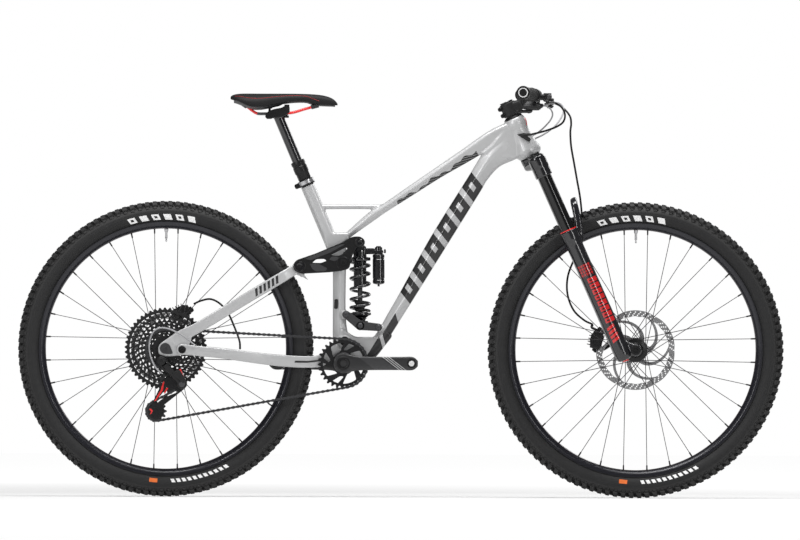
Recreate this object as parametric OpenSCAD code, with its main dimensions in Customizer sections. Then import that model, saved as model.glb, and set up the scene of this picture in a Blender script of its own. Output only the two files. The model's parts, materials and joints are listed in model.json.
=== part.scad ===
// Full suspension mountain bike with a coil shock, a telescopic fork and a dropper post.
// +X forwards, +Y to the rider's left, +Z up. The origin is on the ground, midway between the wheels.

/* [Wheels] */
// Outer radius of both tyres
tyre_r = 370; // [366:1:372]
// Radius of the tyre's round section
tyre_section_r = 29; // [27:1:30]
// Distance between the wheel axles
wheelbase = 1174; // [1170:1:1178]
// Outer radius of both rims
rim_r = 318; // [316:1:320]
// Inner radius of both rims
rim_inner_r = 300; // [298:1:304]
// Spokes in each wheel
spoke_count = 32; // [28:4:36]
// Radius of the front brake rotor
front_rotor_r = 100; // [90:10:100]
// Radius of the rear brake rotor
rear_rotor_r = 90; // [80:10:90]

/* [Drivetrain] */
// Distance from the rear axle forwards to the crank axis
bb_reach = 444; // [442:1:446]
// Distance from the axle height down to the crank axis
bb_drop = 35; // [32:1:36]
// Crank length, from the spindle's axis to the pedal's
crank_l = 170; // [165:2.5:175]
// Chainring teeth
ring_teeth = 30; // [28:2:30]
// Teeth of the sprocket that the chain lies on
cog_teeth = 24; // [24]
// Chain pitch
pitch = 12.7; // [12.7]

/* [Frame] */
// Head tube angle from the ground
head_angle = 66; // [66]
// Half width of the down tube
down_half = 27; // [24:1:27]
// Half width of the top tube
top_half = 20; // [18:1:22]
// Half width of the upright that carries the rocker
column_half = 20; // [18:1:20]
// Outer radius of the seat tube
seat_tube_r = 17.5; // [17:0.5:18]

/* [Fork] */
// Radius of the stanchions
stanchion_r = 17.5; // [16:0.5:17.5]
// Half the distance between the stanchions
leg_y = 65; // [64:1:66]
// Suspension travel of the fork
fork_travel = 140; // [120:10:140]

/* [Cockpit] */
// Half the width of the handlebar
bar_half = 390; // [380:5:390]
// Travel of the dropper post
dropper_travel = 110; // [100:5:110]

/* [Hidden] */
$fn = 64;
clear = 0.05;      // running clearance of a pin in its bore
gap = 0.1;         // gap between faces that would otherwise touch
rear_axle = [-wheelbase / 2, tyre_r];
front_axle = [wheelbase / 2, tyre_r];
bb = rear_axle + [bb_reach, -bb_drop];

// Suspension pivots, side view
main_pivot = [-140, 390];
horst_pivot = [-546, 368];
rocker_rear = [-254, 577];
rocker_frame = [-144, 586];
shock_top = [-103, 637.5];
shock_base = [-101.5, 429];
bracket_rear = [-137, 457];
bracket_front = [-56, 425];

// Steering axis: the lower end of the head tube and the tube's length
head_base = [322.5, 852];
head_l = 105.6;
stanchion_x = 12;
crown_low = -60;
lowers_top = -206;
lowers_end = -560;
to_axle = front_axle - head_base;
fork_axle = [to_axle[0] * sin(head_angle) + to_axle[1] * cos(head_angle),
    to_axle[1] * sin(head_angle) - to_axle[0] * cos(head_angle)];
stem_clamp = [57.4, 130];

// Seat tube axis
seat_top = [-234.5, 779.5];
seat_lean = 23;
collar_z = [17, 66]; // collar of the dropper, above the seat tube's top
post_z = 195;        // rail clamp, above the seat tube's top
post_r = 13;
outer_r = 15.8;

// Widths, measured from the middle plane
rear_drop_y = 74;
front_drop_y = 55;
ring_y = 52;
cog_y0 = 67.8;
cog_step = 3.65;
chain_y = cog_y0 - 6 * cog_step;
rocker_y = [37.4, 45];
cogs = [10, 12, 14, 16, 18, 21, 24, 28, 32, 36, 42, 50];
front_rotor_y = 40.5;
rear_rotor_y = 58.7;

// Derailleur, side view
hanger_bolt = [-598, 340];
shift_pivot = [-586, -86, 327];
shift_axis = [0.744, 0, 0.6682];
cage_pivot = [-546, 282];
pulley_up = [-580, 285];
pulley_low = [-611, 214];
pulley_teeth = 12;

// ---------- helpers ----------

// A side view outline given depth from y0 to y1
module side(y0, y1) {
    translate([0, y1, 0]) rotate([90, 0, 0]) linear_extrude(y1 - y0) children();
}

// A cylinder along Y at a side view point
module pin(p, y0, y1, r) {
    translate([p[0], y1, p[1]]) rotate([90, 0, 0]) cylinder(h = y1 - y0, r = r);
}

module both_sides() {
    children();
    mirror([0, 1, 0]) children();
}

// Turns the Z axis onto the line from a to b
module aim(a, b) {
    d = b - a;
    translate(a) rotate([0, acos(d[2] / norm(d)), atan2(d[1], d[0])]) children();
}

module rod(a, b, r) {
    aim(a, b) cylinder(h = norm(b - a), r = r);
}

// A square bar, w wide across and h high
module bar(a, b, w, h) {
    aim(a, b) translate([-h / 2, -w / 2, 0]) cube([h, w, norm(b - a)]);
}

module at_head() {
    translate([head_base[0], 0, head_base[1]]) rotate([0, head_angle - 90, 0]) children();
}

module at_seat() {
    translate([seat_top[0], 0, seat_top[1]]) rotate([0, -seat_lean, 0]) children();
}

module at_shock() {
    d = shock_top - shock_base;
    translate([shock_base[0], 0, shock_base[1]]) rotate([0, atan2(d[0], d[1]), 0]) children();
}

function tooth_pitch_r(n) = pitch / 2 / sin(180 / n);

// Outline of a sprocket with n straight sided teeth
module sprocket(n) {
    r = tooth_pitch_r(n);
    a = 360 / n;
    polygon([for (i = [0:n - 1], k = [[-0.34, -3.6], [-0.12, 3.4], [0.12, 3.4], [0.34, -3.6]])
        (r + k[1]) * [cos(a * (i + k[0])), sin(a * (i + k[0]))]]);
}

// A tube through a list of points, r in radius
module hose(points, r) {
    n = len(points);
    ref = [0.35, -0.83, 0.44];
    tangent = [for (i = [0:n - 1]) points[min(i + 1, n - 1)] - points[max(i - 1, 0)]];
    u = [for (t = tangent) cross(t, ref) / norm(cross(t, ref))];
    v = [for (i = [0:n - 1]) cross(tangent[i], u[i]) / norm(tangent[i])];
    polyhedron(
        points = [for (i = [0:n - 1], k = [0:7]) points[i] + r * (cos(45 * k) * u[i] + sin(45 * k) * v[i])],
        faces = concat(
            [[for (k = [0:7]) k]],
            [for (i = [0:n - 2], k = [0:7])
                [8 * i + k, 8 * i + 8 + k, 8 * i + 8 + (k + 1) % 8, 8 * i + (k + 1) % 8]],
            [[for (k = [7:-1:0]) 8 * (n - 1) + k]]));
}

// ---------- frame ----------

module front_triangle() {
    color("silver") difference() {
        union() {
            difference() {
                frame_outside();
                frame_hollows();
            }
            bottle_bosses(5);
            pin(bracket_rear, -down_half, down_half, 8);
            pin(bracket_front, -down_half, down_half, 9);
            both_sides() pin(rocker_frame, 10, rocker_y[0] - 0.4, 13);
        }
        bottle_holes();
        at_head() translate([0, 0, -1]) cylinder(h = head_l + 2, r = 20.5);
        at_head() translate([0, 0, -1]) cylinder(h = 13, r = 26);
        at_head() translate([0, 0, head_l - 10]) cylinder(h = 11, r = 21);
        at_seat() translate([0, 0, -190]) cylinder(h = 200, r = outer_r);
        pin(bb, -40, 40, 20.5);
        pin(main_pivot, -40, 40, 7.5);
        pin(rocker_frame, -50, 50, 7.5);
        pin(bracket_rear, -40, 40, 4);
        pin(bracket_front, -40, 40, 4);
    }
}

module frame_outside() {
    side(-down_half, down_half) polygon([[200, 863], [178, 819], [75, 653], [-2, 513], [-50, 429],
        [-64, 402], [-100, 390], [-112, 340], [-70, 350], [-50, 369], [-32, 396], [-4, 439],
        [75, 565], [198, 765], [214, 793], [243, 826], [284, 843]]);
    side(-top_half, top_half) polygon([[-138, 640], [-9, 732], [198, 863], [240, 850], [288, 852],
        [318, 880], [262, 940], [214, 914], [-48, 732], [-81, 714], [-135, 664]]);
    side(-14, 14) polygon([[-208, 714], [-60, 714], [-40, 732], [-213, 732]]);
    side(-17, 17) polygon([[-187, 621], [-170, 575], [-138, 575], [-136, 643], [-135, 664], [-200, 664]]);
    side(-column_half, column_half) polygon([[-170, 600], [-170, 395], [-166, 340], [-142, 316],
        [-100, 326], [-67, 354], [-50, 369], [-60, 401], [-115, 401], [-138, 421], [-138, 600]]);
    at_seat() translate([0, 0, -160]) cylinder(h = 160, r = seat_tube_r);
    at_head() rotate_extrude() polygon([[0, 0], [27, 0], [33.5, 10], [33.5, 22], [26.5, 56],
        [24.5, 72], [29, 88], [29, 97], [25, head_l], [0, head_l]]);
    pin(bb, -36.5, 36.5, 25);
}

// The tubes are hollow and open into the head tube, the seat tube and the crank shell
module frame_hollows() {
    wall = 3;
    both = 2 * (down_half - wall);
    bar([268, 0, 858], [30, 0, 556], both, 40);
    bar([34, 0, 568], [-72, 0, 384], both - 2, 36);
    bar([262, 0, 902], [-20, 0, 722], 2 * (top_half - wall), 28);
    bar([-154, 0, 620], [-154, 0, 345], 2 * (column_half - wall), 26);
}

bottle_low = [42, 598];
bottle_high = [75.5, 653];
bottle_dir = [-0.86, 0.51];
bottle_depth = 14;

module bottle_bosses(r) {
    for (p = [bottle_low, bottle_high]) {
        a = p - bottle_depth * bottle_dir;
        b = p + 1.5 * bottle_dir;
        rod([a[0], 0, a[1]], [b[0], 0, b[1]], r);
    }
}

module bottle_holes() {
    for (p = [bottle_low, bottle_high]) {
        a = p - (bottle_depth - 3) * bottle_dir;
        b = p + 5 * bottle_dir;
        rod([a[0], 0, a[1]], [b[0], 0, b[1]], 2.5);
    }
}

// Lower and upper bearing cups, with the cover above the head tube
module headset() {
    color("dimgray") at_head() {
        difference() {
            cylinder(h = 12, r = 26);
            translate([0, 0, -1]) cylinder(h = 14, r = 19.95 + clear);
        }
        difference() {
            union() {
                translate([0, 0, head_l - 10]) cylinder(h = 10, r = 21);
                translate([0, 0, head_l]) cylinder(h = 7, r1 = 24.5, r2 = 17);
            }
            translate([0, 0, head_l - 11]) cylinder(h = 20, r = 14.3 + clear);
        }
    }
}

module bottom_bracket() {
    color("black") both_sides() difference() {
        union() {
            pin(bb, 22, 36.5, 20.5);
            pin(bb, 36.5, 47, 22);
        }
        pin(bb, 20, 50, 12 + clear);
    }
}

module frame_pivot_axles() {
    color("black") {
        pin(main_pivot, -34.4, 34.4, 7.5);
        both_sides() pin(main_pivot, 34.4, 37, 12);
        pin(rocker_frame, -rocker_y[1] - 0.4, rocker_y[1] + 0.4, 7.5);
        both_sides() pin(rocker_frame, rocker_y[1] + 0.4, rocker_y[1] + 4, 16);
    }
}

// Two V shaped plates that carry the lower end of the shock
module shock_bracket() {
    color("dimgray") both_sides() difference() {
        side(down_half + gap, down_half + 6) {
            polygon([[-144, 449], [-130, 464], [-101, 440], [-90, 435], [-56, 435], [-56, 415], [-106, 415]]);
            translate(bracket_rear) circle(10);
            translate(bracket_front) circle(10);
            translate(shock_base) circle(12);
        }
        for (p = [bracket_rear, bracket_front, shock_base]) pin(p, 20, 40, 4);
    }
}

module shock_bracket_bolts() {
    color("gray") {
        for (p = [bracket_rear, bracket_front]) bolt_through(p);
        bolt_through(shock_base);
        both_sides() difference() {
            pin(shock_base, 12.6, down_half, 8);
            pin(shock_base, 10, 30, 4);
        }
    }
}

module bolt_through(p) {
    pin(p, -down_half - 6, down_half + 6, 4);
    both_sides() pin(p, down_half + 6, down_half + 9, 6.5);
}

module seat_clamp() {
    color("dimgray") at_seat() {
        difference() {
            union() {
                translate([0, 0, 0.2]) cylinder(h = 15, r = 20.5);
                translate([-26, -7, 1]) cube([14, 14, 13]);
            }
            translate([0, 0, -1]) cylinder(h = 20, r = outer_r);
            translate([-30, -1, -1]) cube([14, 2, 20]);
        }
    }
}

module dropper_outer_tube() {
    color("black") at_seat() difference() {
        union() {
            translate([0, 0, -185]) cylinder(h = 185 + collar_z[0], r = outer_r);
            translate([0, 0, collar_z[0]]) cylinder(h = collar_z[1] - collar_z[0], r = 17.8);
        }
        translate([0, 0, -180]) cylinder(h = 300, r = post_r + clear);
    }
}

module cable_ports() {
    color("black") {
        both_sides() side(28.4, 30)
            polygon([[290, 908], [302, 911], [322, 899], [314, 893]]);
        side(-column_half - 2, -column_half - gap) polygon([[-167, 472], [-158, 472], [-157, 494], [-166, 494]]);
    }
}

// ---------- rear suspension ----------

stay_end = [80.6, 88];

module chainstay() {
    color("silver") difference() {
        union() {
            both_sides() {
                pin(horst_pivot, stay_end[0], stay_end[1], 14);
                bar([-548, 84.3, 368], [-440, 78, 358], 7.4, 25);
                bar([-446, 78, 358.5], [-335, 50, 344], 13, 27);
                bar([-340, 50.5, 344], [-286, 44, 338], 13, 29);
                bar([-290, 44, 338], [-196, 43, 338], 11, 29);
                bar([-202, 38.5, 338], [-178, 30, 358], 14, 28);
                bar([-184, 28, 354], [-150, 28, 384], 12.8, 24);
                pin(main_pivot, 21.6, 34, 15);
            }
            bar([-197, -40, 346], [-197, 40, 346], 12, 28);
        }
        pin(horst_pivot, -100, 100, 6 + clear);
        pin(main_pivot, -40, 40, 7.5 + clear);
    }
}

module horst_pivot_bolts() {
    color("black") both_sides() {
        pin(horst_pivot, rear_drop_y + 0.6, stay_end[1], 6);
        pin(horst_pivot, stay_end[1], stay_end[1] + 2.5, 10);
    }
}

module seatstay() {
    color("silver") difference() {
        union() {
            both_sides() {
                pin(rear_axle, rear_drop_y, rear_drop_y + 6, 17);
                side(rear_drop_y, rear_drop_y + 5.4) {
                    polygon([[-596, 384], [-566, 404], [-540, 408], [-530, 372], [-546, 354], [-590, 353]]);
                    translate(horst_pivot) circle(14);
                }
                bar([-560, 76.5, 398], [-480, 66, 433], 11, 26);
                bar([-486, 66.5, 430.5], [-400, 46, 484], 12, 27);
                bar([-406, 46.5, 480.5], [-292, 43, 551], 12, 28);
                bar([-306, 40.5, 543], [-280, 30.2, 560], 12, 27);
                bar([-284, 30.2, 557.5], [-258, 30.2, 574], 12.2, 26);
                pin(rocker_rear, 24.2, 36.3, 13.5);
                bar([-262, 30.2, 566], [-247, 30.2, 554], 12, 12);
            }
            bar([-247, -30, 556], [-247, 30, 556], 9, 12);
        }
        pin(rear_axle, -100, 100, 6);
        pin(rear_axle, -tyre_section_r - 0.6, tyre_section_r + 0.6, tyre_r + 2.5);
        pin(horst_pivot, -100, 100, 6 + clear);
        both_sides() pin(rocker_rear, 0, 40, 8);
    }
}

// Through axle with its covers
module rear_axle_bolt() {
    color("black") {
        pin(rear_axle, -rear_drop_y - 6, rear_drop_y + 6, 6);
        pin(rear_axle, -rear_drop_y - 9, -rear_drop_y - 6, 12);
        pin(rear_axle, rear_drop_y + 6, rear_drop_y + 9, 10);
    }
}

module rear_brake_caliper() {
    color("black") difference() {
        union() {
            translate([-549, 59, 462]) rotate([0, -24, 0]) translate([-33, -13, -20]) cube([66, 26, 36]);
            bar([-520, 68, 452], [-500, 72, 438], 7, 16);
            bar([-500, 73, 440], [-508, 76, 428], 8, 12);
        }
        pin(rear_axle, rear_rotor_y - 1.6, rear_rotor_y + 1.6, rear_rotor_r + 3);
        bar([-560, 76.5, 398], [-480, 66, 433], 11.2, 26.2);
        bar([-486, 66.5, 430.5], [-400, 46, 484], 12.2, 27.2);
    }
}

// Local axes of the derailleur's shift hinge: Z along the pin, Y away from the hanger
module at_shift() {
    aim(shift_pivot, shift_pivot + shift_axis) rotate([0, 0, -77.7]) children();
}

module derailleur_hanger() {
    color("dimgray") difference() {
        union() {
            side(-rear_drop_y + gap, -rear_drop_y + 4) {
                translate(rear_axle) circle(13);
                translate(hanger_bolt) circle(9);
                polygon([[-600, 366], [-607, 340], [-589, 340], [-574, 366]]);
            }
            pin(hanger_bolt, -96, -rear_drop_y + 1, 7);
            pin(hanger_bolt, -98, -82, 11);
            at_shift() {
                cylinder(h = 22, r = 3, center = true);
                for (z = [-11, 7.3]) translate([-5, -14, z]) cube([10, 18, 3.7]);
            }
        }
        pin(rear_axle, -100, 0, 9.3);
    }
}

rocker_outline = [[-262, 590], [-136, 640.5], [-112, 648], [-96, 628], [-113, 628], [-120, 612],
    [-128, 594], [-138, 570], [-244, 564]];

// Two plates, one each side of the frame
module rocker_link() {
    color("black") both_sides() difference() {
        union() {
            side(rocker_y[0], rocker_y[1]) {
                polygon(rocker_outline);
                translate(rocker_rear) circle(15);
                translate(rocker_frame) circle(17);
                translate(shock_top) circle(12);
            }
            pin(shock_top, 16, rocker_y[0], 10);
        }
        side(30, 50) {
            polygon([[-221, 585], [-214, 594], [-190, 595], [-186, 590], [-200, 586]]);
            polygon([[-174, 606], [-140, 624], [-134, 622], [-152, 605]]);
        }
        pin(rocker_frame, 30, 50, 7.5 + clear);
        pin(rocker_rear, 30, 50, 6);
        pin(shock_top, 10, 50, 4);
    }
}

module rocker_bolts() {
    color("black") both_sides() {
        pin(rocker_rear, rocker_y[0], rocker_y[1], 6);
        pin(rocker_rear, rocker_y[1], rocker_y[1] + 3.5, 13);
        pin(shock_top, 16, rocker_y[1], 4);
        pin(shock_top, rocker_y[1], rocker_y[1] + 3, 7);
    }
}

shock_l = norm(shock_top - shock_base);

// Damper tube, reservoir and upper eye
module shock_body() {
    color("black") at_shock() difference() {
        union() {
            translate([0, 0, 96]) cylinder(h = 94, r = 16);
            translate([0, 0, 163.5]) cylinder(h = 8, r = 26);
            translate([-13, -11, 172]) cube([26, 22, 30]);
            translate([0, 11, shock_l]) rotate([90, 0, 0]) cylinder(h = 22, r = 11);
            translate([46.5, 0, 104]) cylinder(h = 71, r = 15);
            translate([46.5, 0, 175]) cylinder(h = 24, r = 9.5);
            translate([46.5, 0, 98]) cylinder(h = 6, r = 3);
            bar([6, 0, 194], [46, 0, 176], 18, 15);
        }
        translate([0, 0, 90]) cylinder(h = 80, r = 6 + clear);
        translate([0, 20, shock_l]) rotate([90, 0, 0]) cylinder(h = 40, r = 5);
    }
}

// Shaft, lower eye and the cup that the spring stands on
module shock_shaft() {
    color("dimgray") at_shock() difference() {
        union() {
            cylinder(h = 112, r = 6);
            rotate_extrude() polygon([[0, 6], [12, 6], [14, 14], [27, 27], [27, 32.5], [0, 32.5]]);
            translate([0, 12, 0]) rotate([90, 0, 0]) cylinder(h = 24, r = 11);
            translate([8, 0, 8]) rotate([0, 90, 0]) cylinder(h = 12, r = 5);
        }
        translate([0, 20, 0]) rotate([90, 0, 0]) cylinder(h = 40, r = 4 + clear);
    }
}

coil_r = 23.2;
coil_wire = 3.7;
coil_low = 36.3;
coil_high = 159.7;
coil_turns = 5.5;
coil_steps = 16;

module shock_spring() {
    n = coil_turns * coil_steps;
    color("black") at_shock() hose([for (i = [0:n]) [
        coil_r * cos(360 * i / coil_steps),
        coil_r * sin(360 * i / coil_steps),
        coil_low + (coil_high - coil_low) * i / n]], coil_wire);
}

// ---------- wheels ----------

module tyre(axle) {
    mid = tyre_r - tyre_section_r;
    color([0.1, 0.1, 0.1]) translate([axle[0], 0, axle[1]]) rotate([90, 0, 0]) rotate_extrude($fn = 96)
        difference() {
            translate([mid, 0]) circle(tyre_section_r);
            translate([mid, 0]) circle(tyre_section_r - 4);
            translate([rim_r - 40 + gap, -40]) square([40, 80]);
        }
}

module rim(axle) {
    color([0.12, 0.12, 0.14]) translate([axle[0], 0, axle[1]]) rotate([90, 0, 0]) rotate_extrude($fn = 96)
        polygon([[rim_inner_r, -5], [rim_r - 6, -17], [rim_r, -17], [rim_r, -14], [rim_r - 8, -13],
            [rim_r - 8, 13], [rim_r, 14], [rim_r, 17], [rim_r - 6, 17], [rim_inner_r, 5]]);
}

flange_r = 29;

// Spokes of one wheel, in crossed pairs between two flanges
module spokes(axle, y_left, y_right) {
    pair = 360 / spoke_count;
    lean = 62;
    color([0.15, 0.15, 0.15]) translate([axle[0], 0, axle[1]])
        for (i = [0:spoke_count - 1]) {
            y = i % 2 == 0 ? y_left : y_right;
            turn = floor(i / 2) % 2 == 0 ? lean : -lean;
            a = 90 + pair * (i + 0.5);
            hub_p = [(flange_r + 2) * cos(a + turn), y, (flange_r + 2) * sin(a + turn)];
            rim_p = [(rim_inner_r - 0.6) * cos(a), sign(y) * 2, (rim_inner_r - 0.6) * sin(a)];
            rod(hub_p, rim_p, 1);
        }
}

// A hub turned about the axle: its half outline as [radius, y] points
module turned(axle, outline, bore) {
    translate([axle[0], 0, axle[1]]) rotate([-90, 0, 0]) difference() {
        rotate_extrude() polygon(outline);
        translate([0, 0, -100]) cylinder(h = 200, r = bore);
    }
}

module rotor(axle, y, r) {
    n = 6;
    hub_r = 27;
    color("gray") translate([axle[0], y + 0.9, axle[1]]) rotate([90, 0, 0]) linear_extrude(1.8)
        difference() {
            union() {
                difference() {
                    circle(r);
                    circle(r - 16);
                }
                circle(hub_r);
                for (i = [0:n - 1]) rotate(i * 360 / n) translate([20, 8]) rotate(-12) square([r - 26, 7]);
            }
            circle(17.1);
        }
}

module rear_tyre() { tyre(rear_axle); }
module rear_rim() { rim(rear_axle); }
module rear_spokes() { spokes(rear_axle, 31, -19); }
module rear_hub() {
    color([0.1, 0.1, 0.1]) turned(rear_axle, [[0, -24.5], [22, -24.5], [22, -21], [flange_r, -20.5],
        [flange_r, -17.5], [17, -13], [17, 24], [flange_r, 29.5], [flange_r, 32.5], [20, 35],
        [27, 55], [27, 57.7], [17, 57.7], [17, 64], [10, 66], [10, 73.9], [0, 73.9]], 6 + clear);
}
module rear_brake_rotor() { rotor(rear_axle, rear_rotor_y, rear_rotor_r); }
module front_tyre() { tyre(front_axle); }
module front_rim() { rim(front_axle); }
module front_spokes() { spokes(front_axle, 23, -29); }
module front_hub() {
    color([0.1, 0.1, 0.1]) turned(front_axle, [[0, -54.9], [10, -54.9], [10, -44], [16, -42], [19, -33],
        [flange_r, -30.5], [flange_r, -27.5], [15, -22], [15, 16], [flange_r, 21.5], [flange_r, 24.5],
        [20, 28], [27, 37], [27, 39.5], [17, 39.5], [17, 45], [10, 47], [10, 54.9], [0, 54.9]], 7.5 + clear);
}
module front_brake_rotor() { rotor(front_axle, front_rotor_y, front_rotor_r); }

module cassette() {
    color([0.25, 0.25, 0.26]) difference() {
        union() {
            for (i = [0:len(cogs) - 1]) {
                y = -cog_y0 + i * cog_step;
                translate([rear_axle[0], y + 0.8, rear_axle[1]]) rotate([90, 0, 0])
                    linear_extrude(1.6) sprocket(cogs[i]);
            }
            for (i = [0:len(cogs) - 2]) {
                y = -cog_y0 + i * cog_step;
                pin(rear_axle, y, y + cog_step, tooth_pitch_r(cogs[i]) - 5);
            }
        }
        pin(rear_axle, -80, 0, 15);
    }
}

module freehub() {
    color("gray") difference() {
        union() {
            pin(rear_axle, -68, -25, 15);
            pin(rear_axle, -73.9, -68, 9);
        }
        pin(rear_axle, -80, 0, 6 + clear);
    }
}

// ---------- fork and cockpit ----------

module fork_crown() {
    color("black") at_head() difference() {
        union() {
            translate([0, 0, -12]) cylinder(h = 27, r = 19.95);
            translate([0, 0, 15]) cylinder(h = 20, r1 = 19.95, r2 = 14.3);
            translate([0, 0, 30]) cylinder(h = 118, r = 14.3);
            translate([0, 0, -14]) cylinder(h = 13.5, r = 27);
            translate([-16, -leg_y, -34]) cube([40, 2 * leg_y, 30]);
            both_sides() translate([stanchion_x, leg_y, crown_low]) cylinder(h = 56, r = 21.5);
        }
        both_sides() translate([stanchion_x, leg_y, crown_low - 1]) cylinder(h = 50, r = stanchion_r);
        translate([0, 0, -50]) cylinder(h = 300, r = 11.5);
    }
}

module fork_stanchions() {
    color("black") at_head() both_sides() translate([stanchion_x, leg_y, -360]) difference() {
        cylinder(h = 349, r = stanchion_r);
        translate([0, 0, -1]) cylinder(h = 340, r = stanchion_r - 2.5);
    }
}

module stem() {
    bore_z = 113;
    color("black") at_head() difference() {
        union() {
            translate([0, 0, bore_z]) cylinder(h = 34.5, r = 19.5);
            translate([-25, -12, bore_z + 2]) cube([14, 24, 31]);
            bar([8, 0, 130.5], [stem_clamp[0], 0, stem_clamp[1]], 38, 33);
            translate([stem_clamp[0], 26, stem_clamp[1]]) rotate([90, 0, 0]) cylinder(h = 52, r = 23);
            translate([0, 0, 148.2]) cylinder(h = 3, r = 17);
        }
        translate([0, 0, bore_z - 1]) cylinder(h = 36.1, r = 14.3);
        translate([stem_clamp[0], 40, stem_clamp[1]]) rotate([90, 0, 0]) cylinder(h = 80, r = 17.4);
    }
}

bar_mid = [head_base[0] + stem_clamp[0] * sin(head_angle) - stem_clamp[1] * cos(head_angle),
    head_base[1] + stem_clamp[0] * cos(head_angle) + stem_clamp[1] * sin(head_angle)];
bar_bend = [bar_mid[0] + 18, 150, bar_mid[1] + 10];
bar_end = [bar_mid[0] - 20, bar_half, bar_mid[1] + 16];
bar_r = 11.1;

// A point of the bar's outer stretch, at distance y from the middle
function bar_at(y) = bar_bend + (bar_end - bar_bend) * (y - 150) / (bar_half - 150);

module handlebar() {
    color("black") {
        pin(bar_mid, -52, 52, 17.4);
        both_sides() {
            aim([bar_mid[0], 50, bar_mid[1]], bar_bend)
                cylinder(h = 4 + norm(bar_bend - [bar_mid[0], 50, bar_mid[1]]), r1 = 16, r2 = bar_r + 0.6);
            rod(bar_at(146), bar_end, bar_r);
        }
    }
}

module grips() {
    color([0.12, 0.12, 0.12]) both_sides() difference() {
        union() {
            rod(bar_at(256), bar_at(bar_half + 3), 15);
            rod(bar_at(256), bar_at(262), 17);
            rod(bar_at(bar_half - 4), bar_at(bar_half + 3), 16.5);
        }
        rod(bar_at(240), bar_at(bar_half), bar_r);
    }
}

lever_pivot = [372, 196];
lever_low = 982;

module clamp_ring(y, w, r) {
    difference() {
        rod(bar_at(y - w / 2), bar_at(y + w / 2), r);
        rod(bar_at(y - w), bar_at(y + w), bar_r);
    }
}

module brake_lever_bodies() {
    color("black") both_sides() {
        clamp_ring(210, 13, 16);
        rod([362, 168, 999], [366, 246, 1001], 9);
        difference() {
            bar([336, 210, 1003], [362, 210, 1000], 12, 14);
            rod(bar_at(190), bar_at(230), bar_r + 2);
        }
        translate([lever_pivot[0], lever_pivot[1], lever_low - 3]) cylinder(h = 18, r = 3);
        translate([lever_pivot[0], lever_pivot[1], lever_low - 3]) cylinder(h = 2.7, r = 6);
    }
}

// The right blade; the left one mirrors it
module brake_blade() {
    difference() {
        translate([0, 0, lever_low]) linear_extrude(8) union() {
            translate([lever_pivot[0], -lever_pivot[1]]) circle(8);
            polygon([[366, -192], [379, -194], [382, -250], [370, -322], [364, -334], [358, -332],
                [362, -318], [369, -250]]);
        }
        translate([lever_pivot[0], -lever_pivot[1], lever_low - 5]) cylinder(h = 20, r = 3 + clear);
    }
}

module brake_blade_right() { color("dimgray") brake_blade(); }
module brake_blade_left() { color("dimgray") mirror([0, 1, 0]) brake_blade(); }

// A pod under the bar with a lever under it; outline of the pod as seen from above
module pod(y, size) {
    p = bar_at(y);
    clamp_ring(y, 9, 15);
    difference() {
        translate([p[0] - size[0] + 14, y - size[1] / 2, 970]) cube([size[0], size[1], 20]);
        rod(bar_at(y - 60), bar_at(y + 60), bar_r + 0.5);
    }
    translate([p[0] - 16, y - size[1] / 2 + 12, 962]) cylinder(h = 12, r = 3);
}

module shifter_body() { color("black") mirror([0, 1, 0]) pod(180, [48, 34]); }
module dropper_remote_body() { color("black") pod(180, [32, 22]); }

function pod_pivot(y, width) = [bar_at(y)[0] - 16, y - width / 2 + 12];

// A thumb paddle on the pod's pivot, given for the left side
module paddle(pivot, reach) {
    difference() {
        translate([0, 0, 963]) linear_extrude(6) {
            translate(pivot) circle(8);
            polygon([pivot + [-4, -7], pivot + [6, 5], pivot + [-reach + 12, reach],
                pivot + [-reach - 4, reach - 4], pivot + [-reach - 2, reach - 16]]);
        }
        translate([pivot[0], pivot[1], 950]) cylinder(h = 30, r = 3 + clear);
    }
}

module shift_paddle() { color("dimgray") mirror([0, 1, 0]) paddle(pod_pivot(180, 34), 34); }
module dropper_paddle() { color("dimgray") paddle(pod_pivot(180, 22), 30); }

module fork_lowers() {
    color([0.1, 0.1, 0.12]) at_head() difference() {
        union() {
            both_sides() {
                translate([stanchion_x, leg_y, lowers_end]) cylinder(h = lowers_top - lowers_end, r = 21.5);
                translate([stanchion_x, leg_y, lowers_top - 30]) cylinder(h = 30, r = 23);
                bar([stanchion_x + 23, 57, lowers_top - 28], [46, 50, -188], 15, 16);
                bar([45.5, 51, -191], [55, 26, -146], 15, 16);
                bar([stanchion_x + 4, 63.5, -534], [fork_axle[0], 63.5, fork_axle[1]], 16.8, 26);
                translate([fork_axle[0], 72, fork_axle[1]]) rotate([90, 0, 0]) cylinder(h = 17, r = 15);
            }
            bar([55, -31, -144], [55, 31, -144], 16, 15);
        }
        both_sides() translate([stanchion_x, leg_y, -505]) cylinder(h = 320, r = stanchion_r + 0.1);
        translate([fork_axle[0], 100, fork_axle[1]]) rotate([90, 0, 0]) cylinder(h = 200, r = 7.5);
    }
}

module front_axle_bolt() {
    color("black") {
        pin(front_axle, -72, 72, 7.5);
        pin(front_axle, -76, -72, 12);
    }
}

module front_brake_caliper() {
    color("black") at_head() difference() {
        union() {
            translate([-45, 32, -524]) cube([33, 28, 66]);
            bar([-30, 62, -512], [-8, 62, -506], 10, 14);
            bar([-30, 62, -470], [-8, 62, -464], 10, 14);
        }
        translate([fork_axle[0], front_rotor_y + 1.6, fork_axle[1]]) rotate([90, 0, 0])
            cylinder(h = 3.2, r = front_rotor_r + 3);
        translate([stanchion_x, leg_y, lowers_end]) cylinder(h = 200, r = 21.5 + gap);
    }
}

// ---------- saddle ----------

module dropper_post() {
    color("black") at_seat() {
        difference() {
            translate([0, 0, -30]) cylinder(h = post_z + 24, r = post_r);
            translate([0, 0, -31]) cylinder(h = post_z - 20, r = post_r - 2.5);
        }
        difference() {
            translate([0, 26, post_z]) rotate([90, 0, 0]) cylinder(h = 52, r = 14);
            both_sides() translate([0, 22, 0]) rail_path(3.6);
        }
    }
}

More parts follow.
